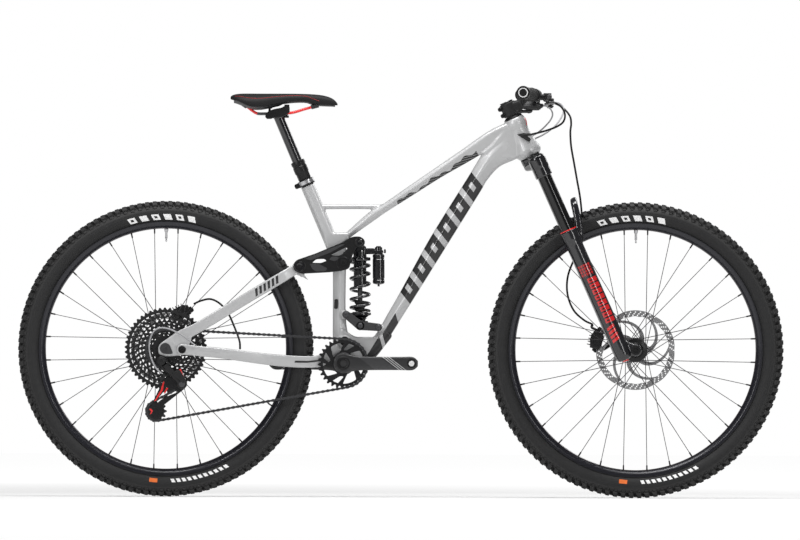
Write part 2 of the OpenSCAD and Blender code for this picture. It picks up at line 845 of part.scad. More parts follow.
// Middle stretch of the left rail in the seat tube's own axes
module rail_path(r) {
    rotate([0, seat_lean, 0]) translate([-seat_top[0], 0, -seat_top[1]]) rod([-360, 0, 958], [-270, 0, 960], r);
}

module saddle_rails() {
    color("red") both_sides() {
        rod([-384, 22, 974], [-358, 22, 956.7], 3.5);
        rod([-361, 22, 958], [-275, 22, 959.8], 3.4);
        rod([-277, 22.2, 959.5], [-224, 14, 975], 3.5);
    }
}

saddle_plan = [[-427, 40], [-420, 66], [-395, 73], [-360, 66], [-320, 44], [-270, 26], [-200, 21],
    [-170, 18], [-158, 8]];

module saddle_outline() {
    linear_extrude(2000) polygon(concat(saddle_plan,
        [for (i = [len(saddle_plan) - 1:-1:0]) [saddle_plan[i][0], -saddle_plan[i][1]]]));
}

// Base of the saddle, with the sockets that hold the rails
module saddle_shell() {
    color("black") difference() {
        union() {
            intersection() {
                side(-100, 100) polygon([[-424, 989], [-390, 978], [-350, 975], [-300, 981],
                    [-230, 978], [-168, 980], [-168, 985], [-230, 984], [-300, 988], [-350, 986],
                    [-390, 987], [-424, 994]]);
                saddle_outline();
            }
            both_sides() {
                rod([-390, 22, 978], [-376, 22, 968.6], 6.5);
                rod([-218, 13, 979], [-232, 15.2, 972.7], 6);
            }
        }
        both_sides() {
            rod([-384, 22, 974], [-358, 22, 956.7], 3.5);
            rod([-277, 22.2, 959.5], [-224, 14, 975], 3.5);
        }
    }
}

module saddle_cover() {
    color("black") intersection() {
        side(-100, 100) polygon([[-427, 994.3], [-424, 1003], [-405, 1009], [-370, 1007], [-300, 1001],
            [-230, 1001], [-180, 1002], [-162, 998], [-158, 990], [-166, 985.2], [-230, 984.2],
            [-300, 988.2], [-350, 986.2], [-390, 987.2], [-424, 994.3]]);
        saddle_outline();
    }
}

// ---------- drivetrain ----------

arm_y = [60, 74];

module crank_arm() {
    difference() {
        union() {
            pin(bb, arm_y[0] - 2, arm_y[1], 26);
            bar([bb[0], 68, bb[1]], [bb[0] + crank_l, 78, bb[1]], 13, 36);
            pin(bb + [crank_l, 0], 71.5, 84.5, 18);
        }
        pin(bb + [crank_l, 0], 60, 90, 7.1);
        pin(bb, 0, 100, 12);
    }
}

// Spindle and both arms; the right arm points forwards
module crankset() {
    color("black") {
        pin(bb, -arm_y[1], arm_y[1], 12 - gap);
        mirror([0, 1, 0]) crank_arm();
        translate([bb[0], 0, bb[1]]) rotate([0, 180, 0]) translate([-bb[0], 0, -bb[1]]) crank_arm();
    }
}

module chainring() {
    color("black") difference() {
        union() {
            translate([bb[0], -ring_y + 0.85, bb[1]]) rotate([90, 0, 0]) linear_extrude(1.7) difference() {
                sprocket(ring_teeth);
                for (i = [0:7]) rotate(22.5 + 45 * i) translate([42, 0]) circle(8);
            }
            pin(bb, -58, -50, 25);
        }
        pin(bb, -60, -40, 12);
    }
}

// The P knuckle and the slanted links behind it
module derailleur_body() {
    color("dimgray") difference() {
        union() {
            at_shift() translate([-6, -5, -7]) cube([12, 56, 14]);
            pin(cage_pivot, -82, -58, 12.5);
            pin(cage_pivot, -58, -55, 7);
        }
        at_shift() cylinder(h = 30, r = 3 + clear, center = true);
    }
}

module cage_plate(y0, y1, pivot_hole) {
    difference() {
        side(y0, y1) {
            translate(pulley_up) circle(14);
            translate(pulley_low) circle(15);
            translate(cage_pivot) circle(12);
            polygon([pulley_up + [-10, 9], cage_pivot + [0, 12], cage_pivot + [4, -11],
                pulley_low + [14, -3], pulley_low + [-12, 10]]);
        }
        pin(pulley_up, -80, 0, 3);
        pin(pulley_low, -80, 0, 3);
        if (pivot_hole) pin(cage_pivot, -80, 0, 7);
    }
}

module derailleur_cage() {
    y = -chain_y;
    color("black") {
        cage_plate(y - 6.5, y - 5, false);
        cage_plate(y + 5, y + 6.5, false);
        pin(pulley_up, y - 7.5, y + 7.5, 3);
        pin(pulley_low, y - 7.5, y + 7.5, 3);
        pin(cage_pivot, y - 8.9, y - 6.5, 7);
    }
}

module pulley(p) {
    color([0.15, 0.15, 0.15]) difference() {
        translate([p[0], -chain_y + 1, p[1]]) rotate([90, 0, 0]) linear_extrude(2) sprocket(pulley_teeth);
        pin(p, -80, 0, 3 + clear);
    }
}

module upper_pulley() { pulley(pulley_up); }
module lower_pulley() { pulley(pulley_low); }

// The chain's loop as [centre, radius], the radius negative where the centre is on the right
function chain_wheels(off) = [
    [bb, -tooth_pitch_r(ring_teeth) - off],
    [pulley_low, -tooth_pitch_r(pulley_teeth) - off],
    [pulley_up, tooth_pitch_r(pulley_teeth) - off],
    [rear_axle, -tooth_pitch_r(cog_teeth) - off]];

// Direction of the straight run from wheel a to wheel b
function run_angle(a, b) = let (d = b[0] - a[0]) atan2(d[1], d[0]) - asin((b[1] - a[1]) / norm(d));

function wheel_point(w, t) = w[0] - w[1] * [-sin(t), cos(t)];

// Points round one wheel, from the run that arrives to the run that leaves
function wheel_arc(w, t0, t1) =
    let (full = w[1] < 0 ? (t1 > t0 ? t1 - 360 : t1) : (t1 < t0 ? t1 + 360 : t1),
        n = ceil(abs(full - t0) / 9))
    [for (i = [0:n]) wheel_point(w, t0 + (full - t0) * i / n)];

function chain_outline(off) = let (w = chain_wheels(off), n = len(w))
    [for (i = [0:n - 1])
        each wheel_arc(w[i], run_angle(w[(i + n - 1) % n], w[i]), run_angle(w[i], w[(i + 1) % n]))];

// Side plates of the chain, as two closed bands
module chain() {
    slant = atan2(ring_y - chain_y, 500);
    color("dimgray") translate([-110, -ring_y, 0]) rotate([0, 0, -slant]) translate([110, 0, 0])
        for (y = [-2.5, 1.8]) side(y, y + 0.7) difference() {
            polygon(chain_outline(3.6));
            polygon(chain_outline(-3.6));
        }
}

// ---------- hoses ----------

front_hose_pts = [[376, 164, 990], [392, 150, 984], [408, 136, 973], [422, 124, 955], [425, 116, 936],
    [423, 108, 915], [425, 100, 880], [432, 94, 840], [440, 90, 795], [448, 89, 750], [452, 90, 705],
    [450, 92, 655], [436, 93, 605], [418, 93, 555], [417, 92, 510], [432, 88, 470], [458, 80, 445],
    [480, 68, 434]];

rear_hose_front_pts = [[374, -164, 990], [390, -150, 983], [402, -130, 972], [408, -108, 956],
    [404, -86, 940], [390, -66, 929], [368, -48, 920], [344, -37, 913], [322, -33, 908]];

rear_hose_back_pts = [[-402, 61, 369], [-404, 66, 391], [-418, 76, 428], [-432, 82, 458],
    [-452, 84, 482], [-476, 82, 494], [-500, 76, 490], [-518, 68, 482]];

shift_front_pts = [[352, -160, 980], [364, -146, 977], [374, -120, 968], [377, -90, 956], [372, -50, 944],
    [364, 0, 934], [352, 24, 922], [336, 36, 910], [318, 33, 904]];

dropper_front_pts = [[352, 166, 980], [368, 152, 985], [388, 132, 989], [402, 112, 982], [406, 92, 968],
    [398, 72, 948], [382, 54, 928], [358, 42, 910], [330, 33, 896]];

shift_back_pts = [[-515, -92, 380], [-536, -95, 397], [-557, -97, 410], [-580, -98, 420], [-600, -99, 422],
    [-616, -100, 414], [-625, -100, 396], [-628, -100, 374], [-624, -100, 350], [-612, -99, 324],
    [-597, -96, 308]];

module brake_hoses() {
    color([0.08, 0.08, 0.08]) {
        hose(front_hose_pts, 2.5);
        hose(rear_hose_front_pts, 2.5);
        hose(rear_hose_back_pts, 2.5);
    }
}

module control_housings() {
    color("gray") {
        hose(shift_front_pts, 2);
        hose(dropper_front_pts, 2);
        hose(shift_back_pts, 2);
    }
}

front_triangle();
headset();
bottom_bracket();
frame_pivot_axles();
shock_bracket();
shock_bracket_bolts();
seat_clamp();
dropper_outer_tube();
cable_ports();
chainstay();
horst_pivot_bolts();
seatstay();
rear_axle_bolt();
rear_brake_caliper();
derailleur_hanger();
rear_tyre();
rear_rim();
rear_spokes();
rear_hub();
rear_brake_rotor();
cassette();
freehub();
front_tyre();
front_rim();
front_spokes();
front_hub();
front_brake_rotor();
fork_crown();
fork_stanchions();
stem();
handlebar();
grips();
brake_lever_bodies();
shifter_body();
dropper_remote_body();
fork_lowers();
front_axle_bolt();
front_brake_caliper();
brake_blade_right();
brake_blade_left();
shift_paddle();
dropper_paddle();
rocker_link();
rocker_bolts();
shock_body();
shock_shaft();
shock_spring();
dropper_post();
saddle_rails();
saddle_shell();
saddle_cover();
crankset();
chainring();
derailleur_body();
derailleur_cage();
upper_pulley();
lower_pulley();
chain();
brake_hoses();
control_housings();
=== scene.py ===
"""The looks of the mountain bike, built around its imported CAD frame.

Lengths are in millimetres and angles in degrees, unless a comment says otherwise. X points forwards,
Y to the rider's left and Z up, so the right-hand side, with the drivetrain, is at negative Y.
"""

import json
import math

import bmesh
import bpy
import numpy as np
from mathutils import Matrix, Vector


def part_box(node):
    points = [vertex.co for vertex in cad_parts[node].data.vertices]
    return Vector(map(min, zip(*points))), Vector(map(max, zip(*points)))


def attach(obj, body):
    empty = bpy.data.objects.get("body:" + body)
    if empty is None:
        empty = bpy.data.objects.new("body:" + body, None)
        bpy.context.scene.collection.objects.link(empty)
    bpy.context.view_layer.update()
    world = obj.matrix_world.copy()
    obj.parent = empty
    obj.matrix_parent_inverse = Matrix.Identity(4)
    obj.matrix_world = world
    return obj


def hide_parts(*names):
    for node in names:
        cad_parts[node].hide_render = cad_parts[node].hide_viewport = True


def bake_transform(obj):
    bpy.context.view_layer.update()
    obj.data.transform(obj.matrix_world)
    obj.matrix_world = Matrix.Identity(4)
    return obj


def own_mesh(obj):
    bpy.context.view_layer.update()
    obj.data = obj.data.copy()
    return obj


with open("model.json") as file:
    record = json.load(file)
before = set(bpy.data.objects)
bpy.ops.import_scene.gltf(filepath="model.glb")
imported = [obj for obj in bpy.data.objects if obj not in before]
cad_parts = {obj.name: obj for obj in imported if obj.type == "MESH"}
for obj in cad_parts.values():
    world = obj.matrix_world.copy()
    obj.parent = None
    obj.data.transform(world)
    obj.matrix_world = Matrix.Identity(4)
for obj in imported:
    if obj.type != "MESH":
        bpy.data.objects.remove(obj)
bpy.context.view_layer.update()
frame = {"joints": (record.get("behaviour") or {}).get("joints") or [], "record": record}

MM = 0.001
X = np.array([1.0, 0.0, 0.0])
Y = np.array([0.0, 1.0, 0.0])
Z = np.array([0.0, 0.0, 1.0])
RIGHT, LEFT = -1, 1
JOINTS = {j["name"]: j for j in frame["joints"]}


def joint_at(name):
    """Where a hinge is."""
    return np.array(JOINTS[name]["pos_m"]) / MM


def joint_axis(name):
    return np.array(JOINTS[name]["axis"])


def box(node):
    """A CAD node's lowest and highest corner."""
    low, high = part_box(node)
    return np.array(low) / MM, np.array(high) / MM


def unit(v):
    v = np.asarray(v, float)
    return v / np.linalg.norm(v)


def at(x, z, y=0.0):
    """A point from its place in the side view."""
    return np.array([x, y, z], float)


class Axes:
    """A local set of axes; calling it turns a local point into one of the whole bike."""

    def __init__(self, origin, x, z):
        self.origin = np.asarray(origin, float)
        self.x = unit(x)
        self.z = unit(z)
        self.y = np.cross(self.z, self.x)

    def __call__(self, p):
        p = np.asarray(p, float)
        turned = p[..., 0:1] * self.x + p[..., 1:2] * self.y + p[..., 2:3] * self.z
        return turned + self.origin


REAR_AXLE = joint_at("rear_wheel_spin")
FRONT_AXLE = joint_at("front_wheel_spin")
BB = joint_at("crank_spin")
MAIN_PIVOT = joint_at("rear_suspension")
HORST = joint_at("horst_link")
ROCKER_FRAME = joint_at("rocker_turn")
SHOCK_BASE = joint_at("shock_swing")
CAGE_PIVOT = joint_at("cage_turn")
UPPER_PULLEY = joint_at("upper_pulley_spin")
LOWER_PULLEY = joint_at("lower_pulley_spin")
ROCKER_REAR = ROCKER_FRAME + at(-110, -9)
SHOCK_TOP = ROCKER_FRAME + at(41, 51.5)
STEER = unit(joint_axis("steering_turn"))
SHOCK_LINE = -unit(joint_axis("shock_stroke"))
SEAT_LINE = -unit(joint_axis("dropper_drop"))
WORLD = Axes((0, 0, 0), X, Z)
HEAD = Axes(joint_at("steering_turn"), np.cross(Y, STEER), STEER)
SHOCK = Axes(SHOCK_BASE, np.cross(Y, SHOCK_LINE), SHOCK_LINE)
SEAT = Axes(at(-234.5, 779.5), np.cross(Y, SEAT_LINE), SEAT_LINE)


# ---------- mesh building ----------


def merged(*parts):
    """Several (points, faces) as one."""
    points, faces, start = [], [], 0
    for p, f in parts:
        points.append(np.asarray(p, float))
        faces += [tuple(i + start for i in face) for face in f]
        start += len(p)
    return np.concatenate(points), faces


def mirrored(part):
    """The part on the other side of the middle plane."""
    points, faces = part
    return points * [1, -1, 1], [face[::-1] for face in faces]


def both_sides(part):
    return merged(part, mirrored(part))


def loft(rings, caps=True, closed=False):
    """A skin over rings that all have the same number of points."""
    rings = [np.asarray(r, float) for r in rings]
    n = len(rings[0])
    faces = []
    spans = len(rings) if closed else len(rings) - 1
    for i in range(spans):
        a, b = i * n, (i + 1) % len(rings) * n
        faces += [(a + k, a + (k + 1) % n, b + (k + 1) % n, b + k) for k in range(n)]
    if caps and not closed:
        faces.append(tuple(range(n))[::-1])
        faces.append(tuple((len(rings) - 1) * n + k for k in range(n)))
    return np.concatenate(rings), faces


def oval(centre, u, v, a, b, power=2.0, count=32):
    """A ring round centre, 2a wide along u and 2b along v; a power above 2 makes it squarer."""
    t = np.linspace(0, 2 * math.pi, count, endpoint=False)
    c, s = np.cos(t), np.sin(t)
    x = a * np.sign(c) * np.abs(c) ** (2 / power)
    y = b * np.sign(s) * np.abs(s) ** (2 / power)
    return np.asarray(centre) + np.outer(x, u) + np.outer(y, v)


def curve_through(points, steps=8):
    """A smooth curve through rows of numbers, with steps pieces to each stretch."""
    p = np.asarray(points, float)
    p = np.vstack([2 * p[0] - p[1], p, 2 * p[-1] - p[-2]])
    out = []
    for i in range(1, len(p) - 2):
        for t in np.arange(steps) / steps:
            a, b, c, d = p[i - 1 : i + 3]
            out.append(0.5 * (2 * b + (c - a) * t + (2 * a - 5 * b + 4 * c - d) * t * t
                              + (3 * b - a - 3 * c + d) * t ** 3))
    out.append(p[-2])
    return np.array(out)


def tube(path, radius, count=12):
    """A round tube along a path; radius is a number or one for each point."""
    path = np.asarray(path, float)
    radii = np.broadcast_to(np.asarray(radius, float), (len(path),))
    tangent = np.gradient(path, axis=0)
    tangent /= np.linalg.norm(tangent, axis=1)[:, None]
    u = np.cross(tangent[0], [0.31, 0.62, 0.72])
    u /= np.linalg.norm(u)
    rings = []
    for p, t, r in zip(path, tangent, radii):
        u = u - t * (u @ t)
        u /= np.linalg.norm(u)
        rings.append(oval(p, u, np.cross(t, u), r, r, 2, count))
    return loft(rings)


def turned(profile, axes=WORLD, count=48, closed=False):
    """A solid of revolution round the axes' own Z, from [radius, height] points.
    closed joins the last point of the profile to the first, as on a tyre."""
    t = np.linspace(0, 2 * math.pi, count, endpoint=False)
    circle = np.stack([np.cos(t), np.sin(t)], 1)
    rings = [np.column_stack([circle * max(r, 0.01), np.full(count, h)]) for r, h in profile]
    points, faces = loft(rings, caps=not closed, closed=closed)
    return axes(points), faces


def across(centre, side=LEFT):
    """Axes for turned() whose Z points out to one side of the bike."""
    return Axes(centre, X, Y * side)


def disc(centre, y0, y1, r, edge=0.8, count=40):
    """A short cylinder along Y with rounded edges."""
    low, high = min(y0, y1), max(y0, y1)
    profile = [[0, low], [r - edge, low], [r - edge * 0.3, low + edge * 0.3], [r, low + edge],
               [r, high - edge], [r - edge * 0.3, high - edge * 0.3], [r - edge, high], [0, high]]
    return turned(profile, across((centre[0], 0, centre[2])), count)


def screw(centre, y, side, r, height):
    """A button head at y, with a hexagon socket half as wide."""
    socket = 0.5
    head = turned([[0, 0], [r, 0], [r, height * 0.5], [r * 0.82, height * 0.92], [r * 0.7, height],
                   [r * socket * 1.08, height]], across((centre[0], y, centre[2]), side), 36)
    points, faces = head
    faces = faces[:-1]
    rim = turned([[r * socket * 1.08, height], [r * socket, height - 0.3], [r * socket, height * 0.25],
                  [0, height * 0.22]], across((centre[0], y, centre[2]), side), 36)
    return merged((points, faces), (rim[0], rim[1][:-2] + rim[1][-1:]))


def block(centre, size, edge=1.0, axes=WORLD, taper=1.0):
    """A box with bevelled edges; taper is the top's size over the bottom's."""
    a, b, c = np.asarray(size, float) / 2
    rings = []
    for z, k in ((-c, 1 - edge / min(a, b)), (-c + edge, 1.0), (c - edge, taper),
                 (c, taper * (1 - edge / min(a, b)))):
        rings.append(rounded_rectangle(a * k, b * k, edge * 1.2, z))
    points, faces = loft(rings)
    return axes(points + np.asarray(centre, float)), faces


def rounded_rectangle(a, b, r, z):
    r = min(r, a * 0.99, b * 0.99)
    steps = 3
    corners = [(a - r, b - r, 0), (r - a, b - r, 90), (r - a, r - b, 180), (a - r, r - b, 270)]
    ring = []
    for x, y, start in corners:
        for k in range(steps + 1):
            t = math.radians(start + 90 * k / steps)
            ring.append([x + r * math.cos(t), y + r * math.sin(t), z])
    return np.array(ring)


def plate(outline, holes=(), low=0.0, high=1.0, edge=0.3, axes=None):
    """A flat plate from low to high, with rounded edges. The outline and the holes are lists of
    [x, z] points in the side view, and low and high are along Y unless axes says otherwise."""
    data = bpy.data.curves.new("plate", "CURVE")
    data.dimensions = "2D"
    data.fill_mode = "BOTH"
    for ring in [outline, *holes]:
        spline = data.splines.new("POLY")
        spline.points.add(len(ring) - 1)
        flat = np.zeros((len(ring), 4))
        flat[:, :2] = np.asarray(ring, float) * MM
        flat[:, 3] = 1
        spline.points.foreach_set("co", flat.ravel())
        spline.use_cyclic_u = True
    data.extrude = ((high - low) / 2 - edge) * MM
    data.bevel_depth = edge * MM
    data.bevel_resolution = 1
    data.offset = -edge * MM
    obj = bpy.data.objects.new("plate", data)
    bpy.context.scene.collection.objects.link(obj)
    mesh = bpy.data.meshes.new_from_object(obj.evaluated_get(bpy.context.evaluated_depsgraph_get()))
    points = np.zeros(len(mesh.vertices) * 3)
    mesh.vertices.foreach_get("co", points)
    points = points.reshape(-1, 3) / MM
    faces = [tuple(f.vertices) for f in mesh.polygons]
    bpy.data.objects.remove(obj)
    bpy.data.curves.remove(data)
    bpy.data.meshes.remove(mesh)
    middle = (low + high) / 2
    if axes is None:
        points = np.column_stack([points[:, 0], middle - points[:, 2], points[:, 1]])
    else:
        points = axes(points + [0, 0, middle])
    return points, faces


def circle(centre, r, count=24):
    t = np.linspace(0, 2 * math.pi, count, endpoint=False)
    return np.asarray(centre, float)[:2] + r * np.stack([np.cos(t), np.sin(t)], 1)


def polar(r, degrees, centre=(0, 0)):
    t = math.radians(degrees)
    return [centre[0] + r * math.cos(t), centre[1] + r * math.sin(t)]


def side_view(p):
    return np.array([p[0], p[2]])


def rounded(corners, r=3.0, steps=4):
    """A closed outline with its corners rounded; r is one radius, or one for each corner."""
    corners = [np.asarray(c, float) for c in corners]
    radii = r if hasattr(r, "__len__") else [r] * len(corners)
    out = []
    for i, c in enumerate(corners):
        before, after = corners[i - 1] - c, corners[(i + 1) % len(corners)] - c
        cut = min(radii[i], np.linalg.norm(before) * 0.45, np.linalg.norm(after) * 0.45)
        a, b = c + unit(before) * cut, c + unit(after) * cut
        for t in np.linspace(0, 1, steps + 1):
            out.append((1 - t) ** 2 * a + 2 * t * (1 - t) * c + t * t * b)
    return np.array(out)


def around(points, r):
    """The convex outline round circles of radius r, or of one radius each, at the points."""
    radii = r if hasattr(r, "__len__") else [r] * len(points)
    cloud = np.concatenate([circle(p, k, 40) for p, k in zip(points, radii)])
    order = cloud[np.lexsort((cloud[:, 1], cloud[:, 0]))]

    def half(rows):
        chain = []
        for p in rows:
            while len(chain) > 1 and np.cross(chain[-1] - chain[-2], p - chain[-2]) <= 0:
                chain.pop()
            chain.append(p)
        return chain[:-1]

    return np.array(half(order) + half(order[::-1]))


def mesh_of(name, part):
    points, faces = part
    mesh = bpy.data.meshes.new(name)
    mesh.from_pydata((np.asarray(points) * MM).tolist(), [], faces)
    bm = bmesh.new()
    bm.from_mesh(mesh)
    bmesh.ops.recalc_face_normals(bm, faces=bm.faces)
    bm.to_mesh(mesh)
    bm.free()
    return mesh


def place(obj, body, material, replaces=()):
    """Gives a finished mesh its material, its body and the CAD nodes it stands for."""
    obj.data.materials.clear()
    obj.data.materials.append(material)
    if body:
        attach(obj, body)
    if replaces:
        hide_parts(*replaces)
    return obj


def piece(name, part, body, material, replaces=(), sharp=32.0, subdivide=0):
    """A new object of the bike. sharp is the angle above which an edge stays crisp."""
    mesh = mesh_of(name, part)
    mesh.shade_smooth()
    mesh.set_sharp_from_angle(angle=math.radians(sharp))
    obj = bpy.data.objects.new(name, mesh)
    bpy.context.scene.collection.objects.link(obj)
    if subdivide:
        obj.modifiers.new("subdivide", "SUBSURF").levels = subdivide
        obj.modifiers["subdivide"].render_levels = subdivide
        apply_modifiers(obj)
    return place(obj, body, material, replaces)


def apply_modifiers(obj):
    graph = bpy.context.evaluated_depsgraph_get()
    graph.update()
    mesh = bpy.data.meshes.new_from_object(obj.evaluated_get(graph))
    old = obj.data
    obj.modifiers.clear()
    obj.data = mesh
    bpy.data.meshes.remove(old)


def fused(name, part, body, material, replaces=(), voxel=1.8, smooth=4):
    """A moulded piece: overlapping solids melted into one skin with soft inner corners."""
    obj = bpy.data.objects.new(name, mesh_of(name, part))
    bpy.context.scene.collection.objects.link(obj)
    melt = obj.modifiers.new("melt", "REMESH")
    melt.mode = "VOXEL"
    melt.voxel_size = voxel * MM
    soften = obj.modifiers.new("soften", "SMOOTH")
    soften.factor = 0.5
    soften.iterations = smooth
    apply_modifiers(obj)
    obj.data.shade_smooth()
    return place(obj, body, material, replaces)


# ---------- materials ----------


class Field:
    """A number that varies over a surface; arithmetic on it adds Math nodes."""

    def __init__(self, tree, value):
        self.tree = tree
        self.value = value

    def math(self, operation, *others):
        node = self.tree.nodes.new("ShaderNodeMath")
        node.operation = operation
        for i, v in enumerate([self, *others]):
            v = v.value if isinstance(v, Field) else v
            if isinstance(v, bpy.types.NodeSocket):
                self.tree.links.new(v, node.inputs[i])
            else:
                node.inputs[i].default_value = v
        return Field(self.tree, node.outputs[0])

    def __add__(self, other):
        return self.math("ADD", other)

    def __sub__(self, other):
        return self.math("SUBTRACT", other)

    def __mul__(self, other):
        return self.math("MULTIPLY", other)

    def __gt__(self, other):
        return self.math("GREATER_THAN", other)

    def __lt__(self, other):
        return self.math("LESS_THAN", other)

    def within(self, low, high):
        return (self > low) * (self < high)

    def either(self, other):
        return self.math("MAXIMUM", other)

    def repeat(self, length):
        """The remainder, from 0 to length."""
        return self.math("WRAP", length, 0.0)


class Paint:
    """The node tree of one material, with a Principled shader and coordinates in millimetres."""

    def __init__(self, name, rough, metal=0.0, coat=0.0, coat_rough=0.1, specular=0.5):
        self.material = bpy.data.materials.new(name)
        self.material.use_nodes = True
        self.tree = self.material.node_tree
        self.shader = self.tree.nodes["Principled BSDF"]
        self.set("Roughness", rough)
        self.set("Metallic", metal)
        self.set("Coat Weight", coat)
        self.set("Coat Roughness", coat_rough)
        self.set("Specular IOR Level", specular)
        place_node = self.tree.nodes.new("ShaderNodeTexCoord")
        self.coords = place_node.outputs["Object"]
        split = self.tree.nodes.new("ShaderNodeSeparateXYZ")
        self.tree.links.new(self.coords, split.inputs[0])
        self.x, self.y, self.z = [Field(self.tree, split.outputs[i]) * 1000 for i in range(3)]

    def set(self, socket, value):
        self.shader.inputs[socket].default_value = value

    def noise(self, size, detail=3.0, stretch=None):
        """Noise from 0 to 1 with lumps of that size."""
        node = self.tree.nodes.new("ShaderNodeTexNoise")
        node.inputs["Scale"].default_value = 1000 / size
        node.inputs["Detail"].default_value = detail
        source = self.coords
        if stretch:
            mapping = self.tree.nodes.new("ShaderNodeMapping")
            mapping.inputs["Scale"].default_value = stretch
            self.tree.links.new(self.coords, mapping.inputs[0])
            source = mapping.outputs[0]
        self.tree.links.new(source, node.inputs["Vector"])
        return Field(self.tree, node.outputs[0])

    def mix(self, factor, a, b):
        """Colour a where factor is 0 and b where it is 1; each is a colour or a socket."""
        node = self.tree.nodes.new("ShaderNodeMix")
        node.data_type = "RGBA"
        self.tree.links.new(factor.value, node.inputs[0])
        for socket, colour in ((node.inputs[6], a), (node.inputs[7], b)):
            if isinstance(colour, bpy.types.NodeSocket):
                self.tree.links.new(colour, socket)
            else:
                socket.default_value = (*colour, 1)
        return node.outputs[2]

    def colour(self, socket):
        self.tree.links.new(socket, self.shader.inputs["Base Color"])
        return self

    def rough(self, field, low, high):
        scaled = field * (high - low) + low
        self.tree.links.new(scaled.value, self.shader.inputs["Roughness"])
        return self

    def bump(self, field, height, strength=1.0):
        node = self.tree.nodes.new("ShaderNodeBump")
        node.inputs["Strength"].default_value = strength
        node.inputs["Distance"].default_value = height * MM
        self.tree.links.new(field.value, node.inputs["Height"])
        self.tree.links.new(node.outputs[0], self.shader.inputs["Normal"])
        return self

    def along(self, origin, direction):
        """Distance from origin along a direction of the side view."""
        d = unit(direction)
        return self.x * d[0] + self.z * d[2] - float(np.dot(origin, d))


def tinted(name, colour, rough, metal=0.0, vary=0.12, grain=0.4, depth=0.02, coat=0.0, coat_rough=0.1,
           patch=30.0, stretch=None, specular=0.5):
    """A material with soft patches of tone, and fine grain in its gloss and its surface."""
    paint = Paint(name, rough, metal, coat, coat_rough, specular)
    dark = [c * (1 - vary) for c in colour]
    light = [min(1.0, c * (1 + vary)) for c in colour]
    fine = paint.noise(grain, 2.0, stretch)
    paint.colour(paint.mix(paint.noise(patch, 4.0, stretch), dark, light))
    paint.rough(fine, rough * 0.85, min(1.0, rough * 1.15))
    paint.bump(fine, depth, 0.5)
    return paint


PALE = (0.43, 0.432, 0.435)
RED = (0.72, 0.012, 0.012)


def frame_paint(name, marks=()):
    """Silver lacquer with a fine flake. A mark is a function of the paint that gives its area,
    with its colour."""
    paint = Paint(name, 0.33, metal=0.25, coat=0.35, coat_rough=0.12)
    flake = paint.noise(0.35, 2.0)
    tone = paint.mix(paint.noise(45.0, 3.0), [c * 0.95 for c in PALE], [c * 1.05 for c in PALE])
    tone = paint.mix(flake * 0.08, tone, (0.8, 0.8, 0.82))
    for area, colour in marks:
        tone = paint.mix(area(paint), tone, colour)
    paint.colour(tone)
    paint.rough(flake, 0.34, 0.42)
    paint.bump(flake, 0.004, 0.12)
    return paint.material


def metal_black(name="black_anodised", tone=0.007, rough=0.34):
    return tinted(name, (tone, tone, tone * 1.05), rough, metal=0.2, vary=0.2, grain=0.5,
                  depth=0.015, specular=0.35).material


MAT = {
    "black": metal_black(),
    "black_satin": metal_black("black_satin", 0.012, 0.5),
    "gloss": tinted("gloss_black_paint", (0.0045, 0.0045, 0.006), 0.16, vary=0.15, grain=0.8, depth=0.004,
                    coat=0.6, coat_rough=0.05).material,
    "grey": tinted("grey_anodised", (0.085, 0.085, 0.09), 0.4, metal=0.6, vary=0.15).material,
    "dark_panel": tinted("dark_grey_panel", (0.034, 0.034, 0.036), 0.42, metal=0.2, vary=0.1).material,
    "steel": tinted("bare_steel", (0.45, 0.45, 0.46), 0.3, metal=0.95, vary=0.1).material,
    "rotor": tinted("brushed_rotor_steel", (0.30, 0.30, 0.305), 0.36, metal=0.8, vary=0.12,
                    stretch=(1, 20, 1)).material,
    "dark_steel": tinted("blackened_steel", (0.018, 0.018, 0.019), 0.42, metal=0.7, vary=0.3,
                         patch=4.0).material,
    "cog": tinted("cog_steel", (0.024, 0.024, 0.025), 0.40, metal=0.7, vary=0.3, patch=5.0).material,
    "chain": tinted("chain_steel", (0.055, 0.055, 0.058), 0.38, metal=0.75, vary=0.3, patch=5.0).material,
    "spoke": tinted("spoke_steel", (0.045, 0.042, 0.045), 0.35, metal=0.7, vary=0.15).material,
    "plastic": tinted("black_plastic", (0.009, 0.009, 0.010), 0.55, grain=0.6, depth=0.03).material,
    "rubber": tinted("black_rubber", (0.008, 0.008, 0.008), 0.72, grain=0.5, depth=0.04).material,
    "hose": tinted("hose_jacket", (0.005, 0.005, 0.0055), 0.5, grain=0.8, vary=0.2, specular=0.25).material,
    "housing": tinted("grey_housing", (0.30, 0.30, 0.31), 0.5, grain=0.6, vary=0.1).material,
    "red": tinted("red_enamel", RED, 0.3, vary=0.08, coat=0.5).material,
    "piping": tinted("red_piping", (0.30, 0.007, 0.009), 0.6, vary=0.2, grain=0.8, depth=0.05).material,
    "stanchion": tinted("stanchion_coat", (0.004, 0.004, 0.0045), 0.13, metal=0.4, vary=0.1, grain=1.0,
                        depth=0.002, coat=0.3).material,
    "pale": tinted("pale_mark", (0.62, 0.62, 0.62), 0.5, vary=0.05).material,
}


def polar_coordinates(paint, centre):
    """Angle in degrees, clockwise from the top as seen from the right, and radius."""
    dx = paint.x - float(centre[0])
    dz = paint.z - float(centre[2])
    angle = dx.math("ARCTAN2", dz) * (180 / math.pi)
    radius = (dx * dx + dz * dz).math("SQRT")
    return angle, radius


